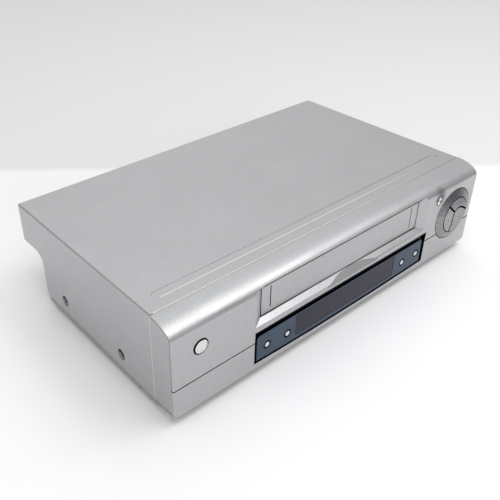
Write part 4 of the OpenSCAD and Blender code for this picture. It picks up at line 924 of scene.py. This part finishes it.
def soft_room():
    """A plain pale room, brighter overhead and behind on the right."""
    world = bpy.data.worlds.new("Soft Room")
    bpy.context.scene.world = world
    world.use_nodes = True
    tree = world.node_tree
    background = tree.nodes["Background"]
    toward = add(tree, "ShaderNodeTexCoord").outputs["Generated"]
    light = ROOM_LIGHT
    for direction, start, full, share in ROOM_LOBES:
        cosine = add(tree, "ShaderNodeVectorMath", operation="DOT_PRODUCT")
        feed(tree, cosine.inputs[0], toward)
        feed(tree, cosine.inputs[1], Vector(direction).normalized())
        lobe = remap(tree, cosine.outputs["Value"], start, full, to_low=0.0, to_high=share)
        light = math_node(tree, "ADD", light, lobe)
    tree.links.new(light, background.inputs["Strength"])
    background.inputs["Color"].default_value = ROOM_COLOR
    lay_out(tree)


def soft_lamp(name, place, width, height, power):
    """One rectangular lamp aimed at the recorder."""
    bpy.ops.object.select_all(action="DESELECT")
    bpy.ops.object.light_add(type="AREA", location=place)
    lamp = bpy.context.active_object
    lamp.name = name
    lamp.data.shape = "RECTANGLE"
    lamp.data.size = width
    lamp.data.size_y = height
    lamp.data.energy = power
    lamp.rotation_mode = "QUATERNION"
    lamp.rotation_quaternion = (LAMP_AIM - Vector(place)).to_track_quat("-Z", "Y")


def photo_camera():
    """The camera at the photograph's viewpoint."""
    azimuth, elevation, roll = map(math.radians, CAMERA_TURN)
    back = Vector((math.sin(azimuth) * math.cos(elevation), -math.cos(azimuth) * math.cos(elevation),
                   math.sin(elevation)))
    level = Vector((math.cos(azimuth), math.sin(azimuth), 0.0))
    upward = back.cross(level)
    right = level * math.cos(roll) + upward * math.sin(roll)
    up = upward * math.cos(roll) - level * math.sin(roll)
    bpy.ops.object.select_all(action="DESELECT")
    bpy.ops.object.camera_add(location=CAMERA_PLACE)
    camera = bpy.context.active_object
    camera.name = "camera"
    camera.rotation_mode = "QUATERNION"
    camera.rotation_quaternion = Matrix((right, up, back)).transposed().to_quaternion()
    camera.data.sensor_width = CAMERA_SENSOR
    camera.data.lens = CAMERA_LENS
    camera.data.shift_x, camera.data.shift_y = CAMERA_SHIFT
    camera.data.clip_start, camera.data.clip_end = CAMERA_CLIP
    bpy.context.scene.camera = camera


# ---------------------------------------------------------------- operators


class RECORDER_OT_finishes(bpy.types.Operator):
    """Makes the shared effect groups and one material for each finish of the record"""

    bl_idname = "recorder.finishes"
    bl_label = "Finishes"

    def execute(self, context):
        GROUPS["paint"] = make_paint_group()
        GROUPS["grain"] = make_grain_group()
        GROUPS["brush"] = make_brush_group()
        FINISHES.update(marked_finishes(context.scene.recorder_finish))
        FINISHES.update(plain_finishes())
        for material in FINISHES.values():
            lay_out(material.node_tree)
        for node, thing in frame["nodes"].items():
            thing.data.materials.clear()
            thing.data.materials.append(FINISHES[SLOT_OF[node]])
        return {"FINISHED"}


class RECORDER_OT_casing(bpy.types.Operator):
    """Shows the cover, the front mouldings, the base pan, the back, the feet and the screws"""

    bl_idname = "recorder.casing"
    bl_label = "Casing"

    def execute(self, context):
        shape = context.scene.recorder_shape
        foot_edge = 0.4 * MM
        refined("top_cover", shape.sheet_edge)
        refined("front_panel", shape.moulded_edge)
        refined("front_frame", shape.moulded_edge)
        refined("base_pan", shape.sheet_edge)
        refined("rear_panel", shape.sheet_edge)
        refined("feet", foot_edge, segments=3)
        refined("cover_screws", shape.fine_edge)
        return {"FINISHED"}


class RECORDER_OT_flap(bpy.types.Operator):
    """Shows the cassette flap and its spring"""

    bl_idname = "recorder.flap"
    bl_label = "Cassette Flap"

    def execute(self, context):
        refined("cassette_flap", context.scene.recorder_shape.part_edge)
        refined("flap_spring", 0)
        return {"FINISHED"}


class RECORDER_OT_display(bpy.types.Operator):
    """Shows the slate panel, its window and the tube behind it"""

    bl_idname = "recorder.display"
    bl_label = "Display"

    def execute(self, context):
        window_edge, tube_edge = 0.2 * MM, 0.5 * MM
        refined("display_panel", context.scene.recorder_shape.part_edge)
        refined("display_lens", window_edge)
        refined("display_tube", tube_edge)
        return {"FINISHED"}


class RECORDER_OT_buttons(bpy.types.Operator):
    """Shows the buttons and models the dark wells round the small ones"""

    bl_idname = "recorder.buttons"
    bl_label = "Buttons"

    def execute(self, context):
        shape = context.scene.recorder_shape
        for node in PANEL_BUTTONS:
            refined(node, shape.pressed_edge)
            button_well(node, shape.cup_depth)
        refined("standby_button", shape.part_edge)
        refined("eject_button", shape.fine_edge)
        return {"FINISHED"}


class RECORDER_OT_transport(bpy.types.Operator):
    """Shows the flared ring and the three transport buttons inside it"""

    bl_idname = "recorder.transport"
    bl_label = "Transport Buttons"

    def execute(self, context):
        for node in ("control_ring", *DISC_BUTTONS):
            refined(node, context.scene.recorder_shape.dial_edge, segments=3)
        return {"FINISHED"}


class RECORDER_OT_deck(bpy.types.Operator):
    """Shows the tape deck, the carriage and their drive"""

    bl_idname = "recorder.deck"
    bl_label = "Tape Deck"

    def execute(self, context):
        shape = context.scene.recorder_shape
        for node in ("deck_plate", "left_rail", "right_rail", "carriage_slider", "cassette_holder",
                     "pinch_arm", "tension_arm"):
            refined(node, shape.pressed_edge, segments=1)
        for node in ("lower_drum", "head_drum", "capstan", "centre_pulley", "supply_reel", "takeup_reel",
                     "idler_arm", "loading_motor", "erase_head", "sound_head"):
            refined(node, shape.part_edge)
        for node in ("deck_screws", "capstan_bearing", "capstan_stator", "drive_belt", "idler_wheel",
                     "pinch_roller", "supply_guide", "takeup_guide", "tape_posts", "cassette_lamp",
                     "loading_worm", "loading_wheel"):
            refined(node, shape.fine_edge, segments=1)
        return {"FINISHED"}


class RECORDER_OT_electronics(bpy.types.Operator):
    """Shows the boards, the power parts, the tuner and the sockets"""

    bl_idname = "recorder.electronics"
    bl_label = "Electronics"

    def execute(self, context):
        shape = context.scene.recorder_shape
        for node in ("front_board", "main_board", "heat_sink"):
            refined(node, shape.fine_edge, segments=1)
        for node in ("tact_switches", "power_transformer", "capacitors", "tuner_box", "rear_sockets",
                     "mains_inlet"):
            refined(node, shape.part_edge)
        return {"FINISHED"}


class RECORDER_OT_stage(bpy.types.Operator):
    """Sets up the pale floor, the room, the soft lamps and the camera"""

    bl_idname = "recorder.stage"
    bl_label = "Stage"

    def execute(self, context):
        pale_floor(tuple(context.scene.recorder_finish.floor))
        soft_room()
        for lamp in LAMPS:
            soft_lamp(*lamp)
        photo_camera()
        context.scene.view_settings.view_transform = "Standard"
        return {"FINISHED"}


class RECORDER_PT_panel(bpy.types.Panel):
    """Sizes, colours and build steps of the recorder"""

    bl_idname = "RECORDER_PT_panel"
    bl_label = "Recorder"
    bl_space_type = "VIEW_3D"
    bl_region_type = "UI"
    bl_category = "Recorder"

    def draw(self, context):
        layout = self.layout
        for group in (context.scene.recorder_shape, context.scene.recorder_finish):
            box = layout.box()
            for key in group.__annotations__:
                box.prop(group, key)
        for step in STEPS:
            layout.operator(step.bl_idname)


STEPS = (RECORDER_OT_finishes, RECORDER_OT_casing, RECORDER_OT_flap, RECORDER_OT_display, RECORDER_OT_buttons,
         RECORDER_OT_transport, RECORDER_OT_deck, RECORDER_OT_electronics, RECORDER_OT_stage)
CLASSES = (RecorderShape, RecorderFinish, *STEPS, RECORDER_PT_panel)


def register():
    for cls in CLASSES:
        bpy.utils.register_class(cls)
    bpy.types.Scene.recorder_shape = bpy.props.PointerProperty(type=RecorderShape)
    bpy.types.Scene.recorder_finish = bpy.props.PointerProperty(type=RecorderFinish)


def unregister():
    del bpy.types.Scene.recorder_finish
    del bpy.types.Scene.recorder_shape
    for cls in reversed(CLASSES):
        bpy.utils.unregister_class(cls)


def main():
    register()
    bpy.ops.recorder.finishes()
    bpy.ops.recorder.casing()
    bpy.ops.recorder.flap()
    bpy.ops.recorder.display()
    bpy.ops.recorder.buttons()
    bpy.ops.recorder.transport()
    bpy.ops.recorder.deck()
    bpy.ops.recorder.electronics()
    bpy.ops.recorder.stage()


if __name__ == "__main__":
    main()
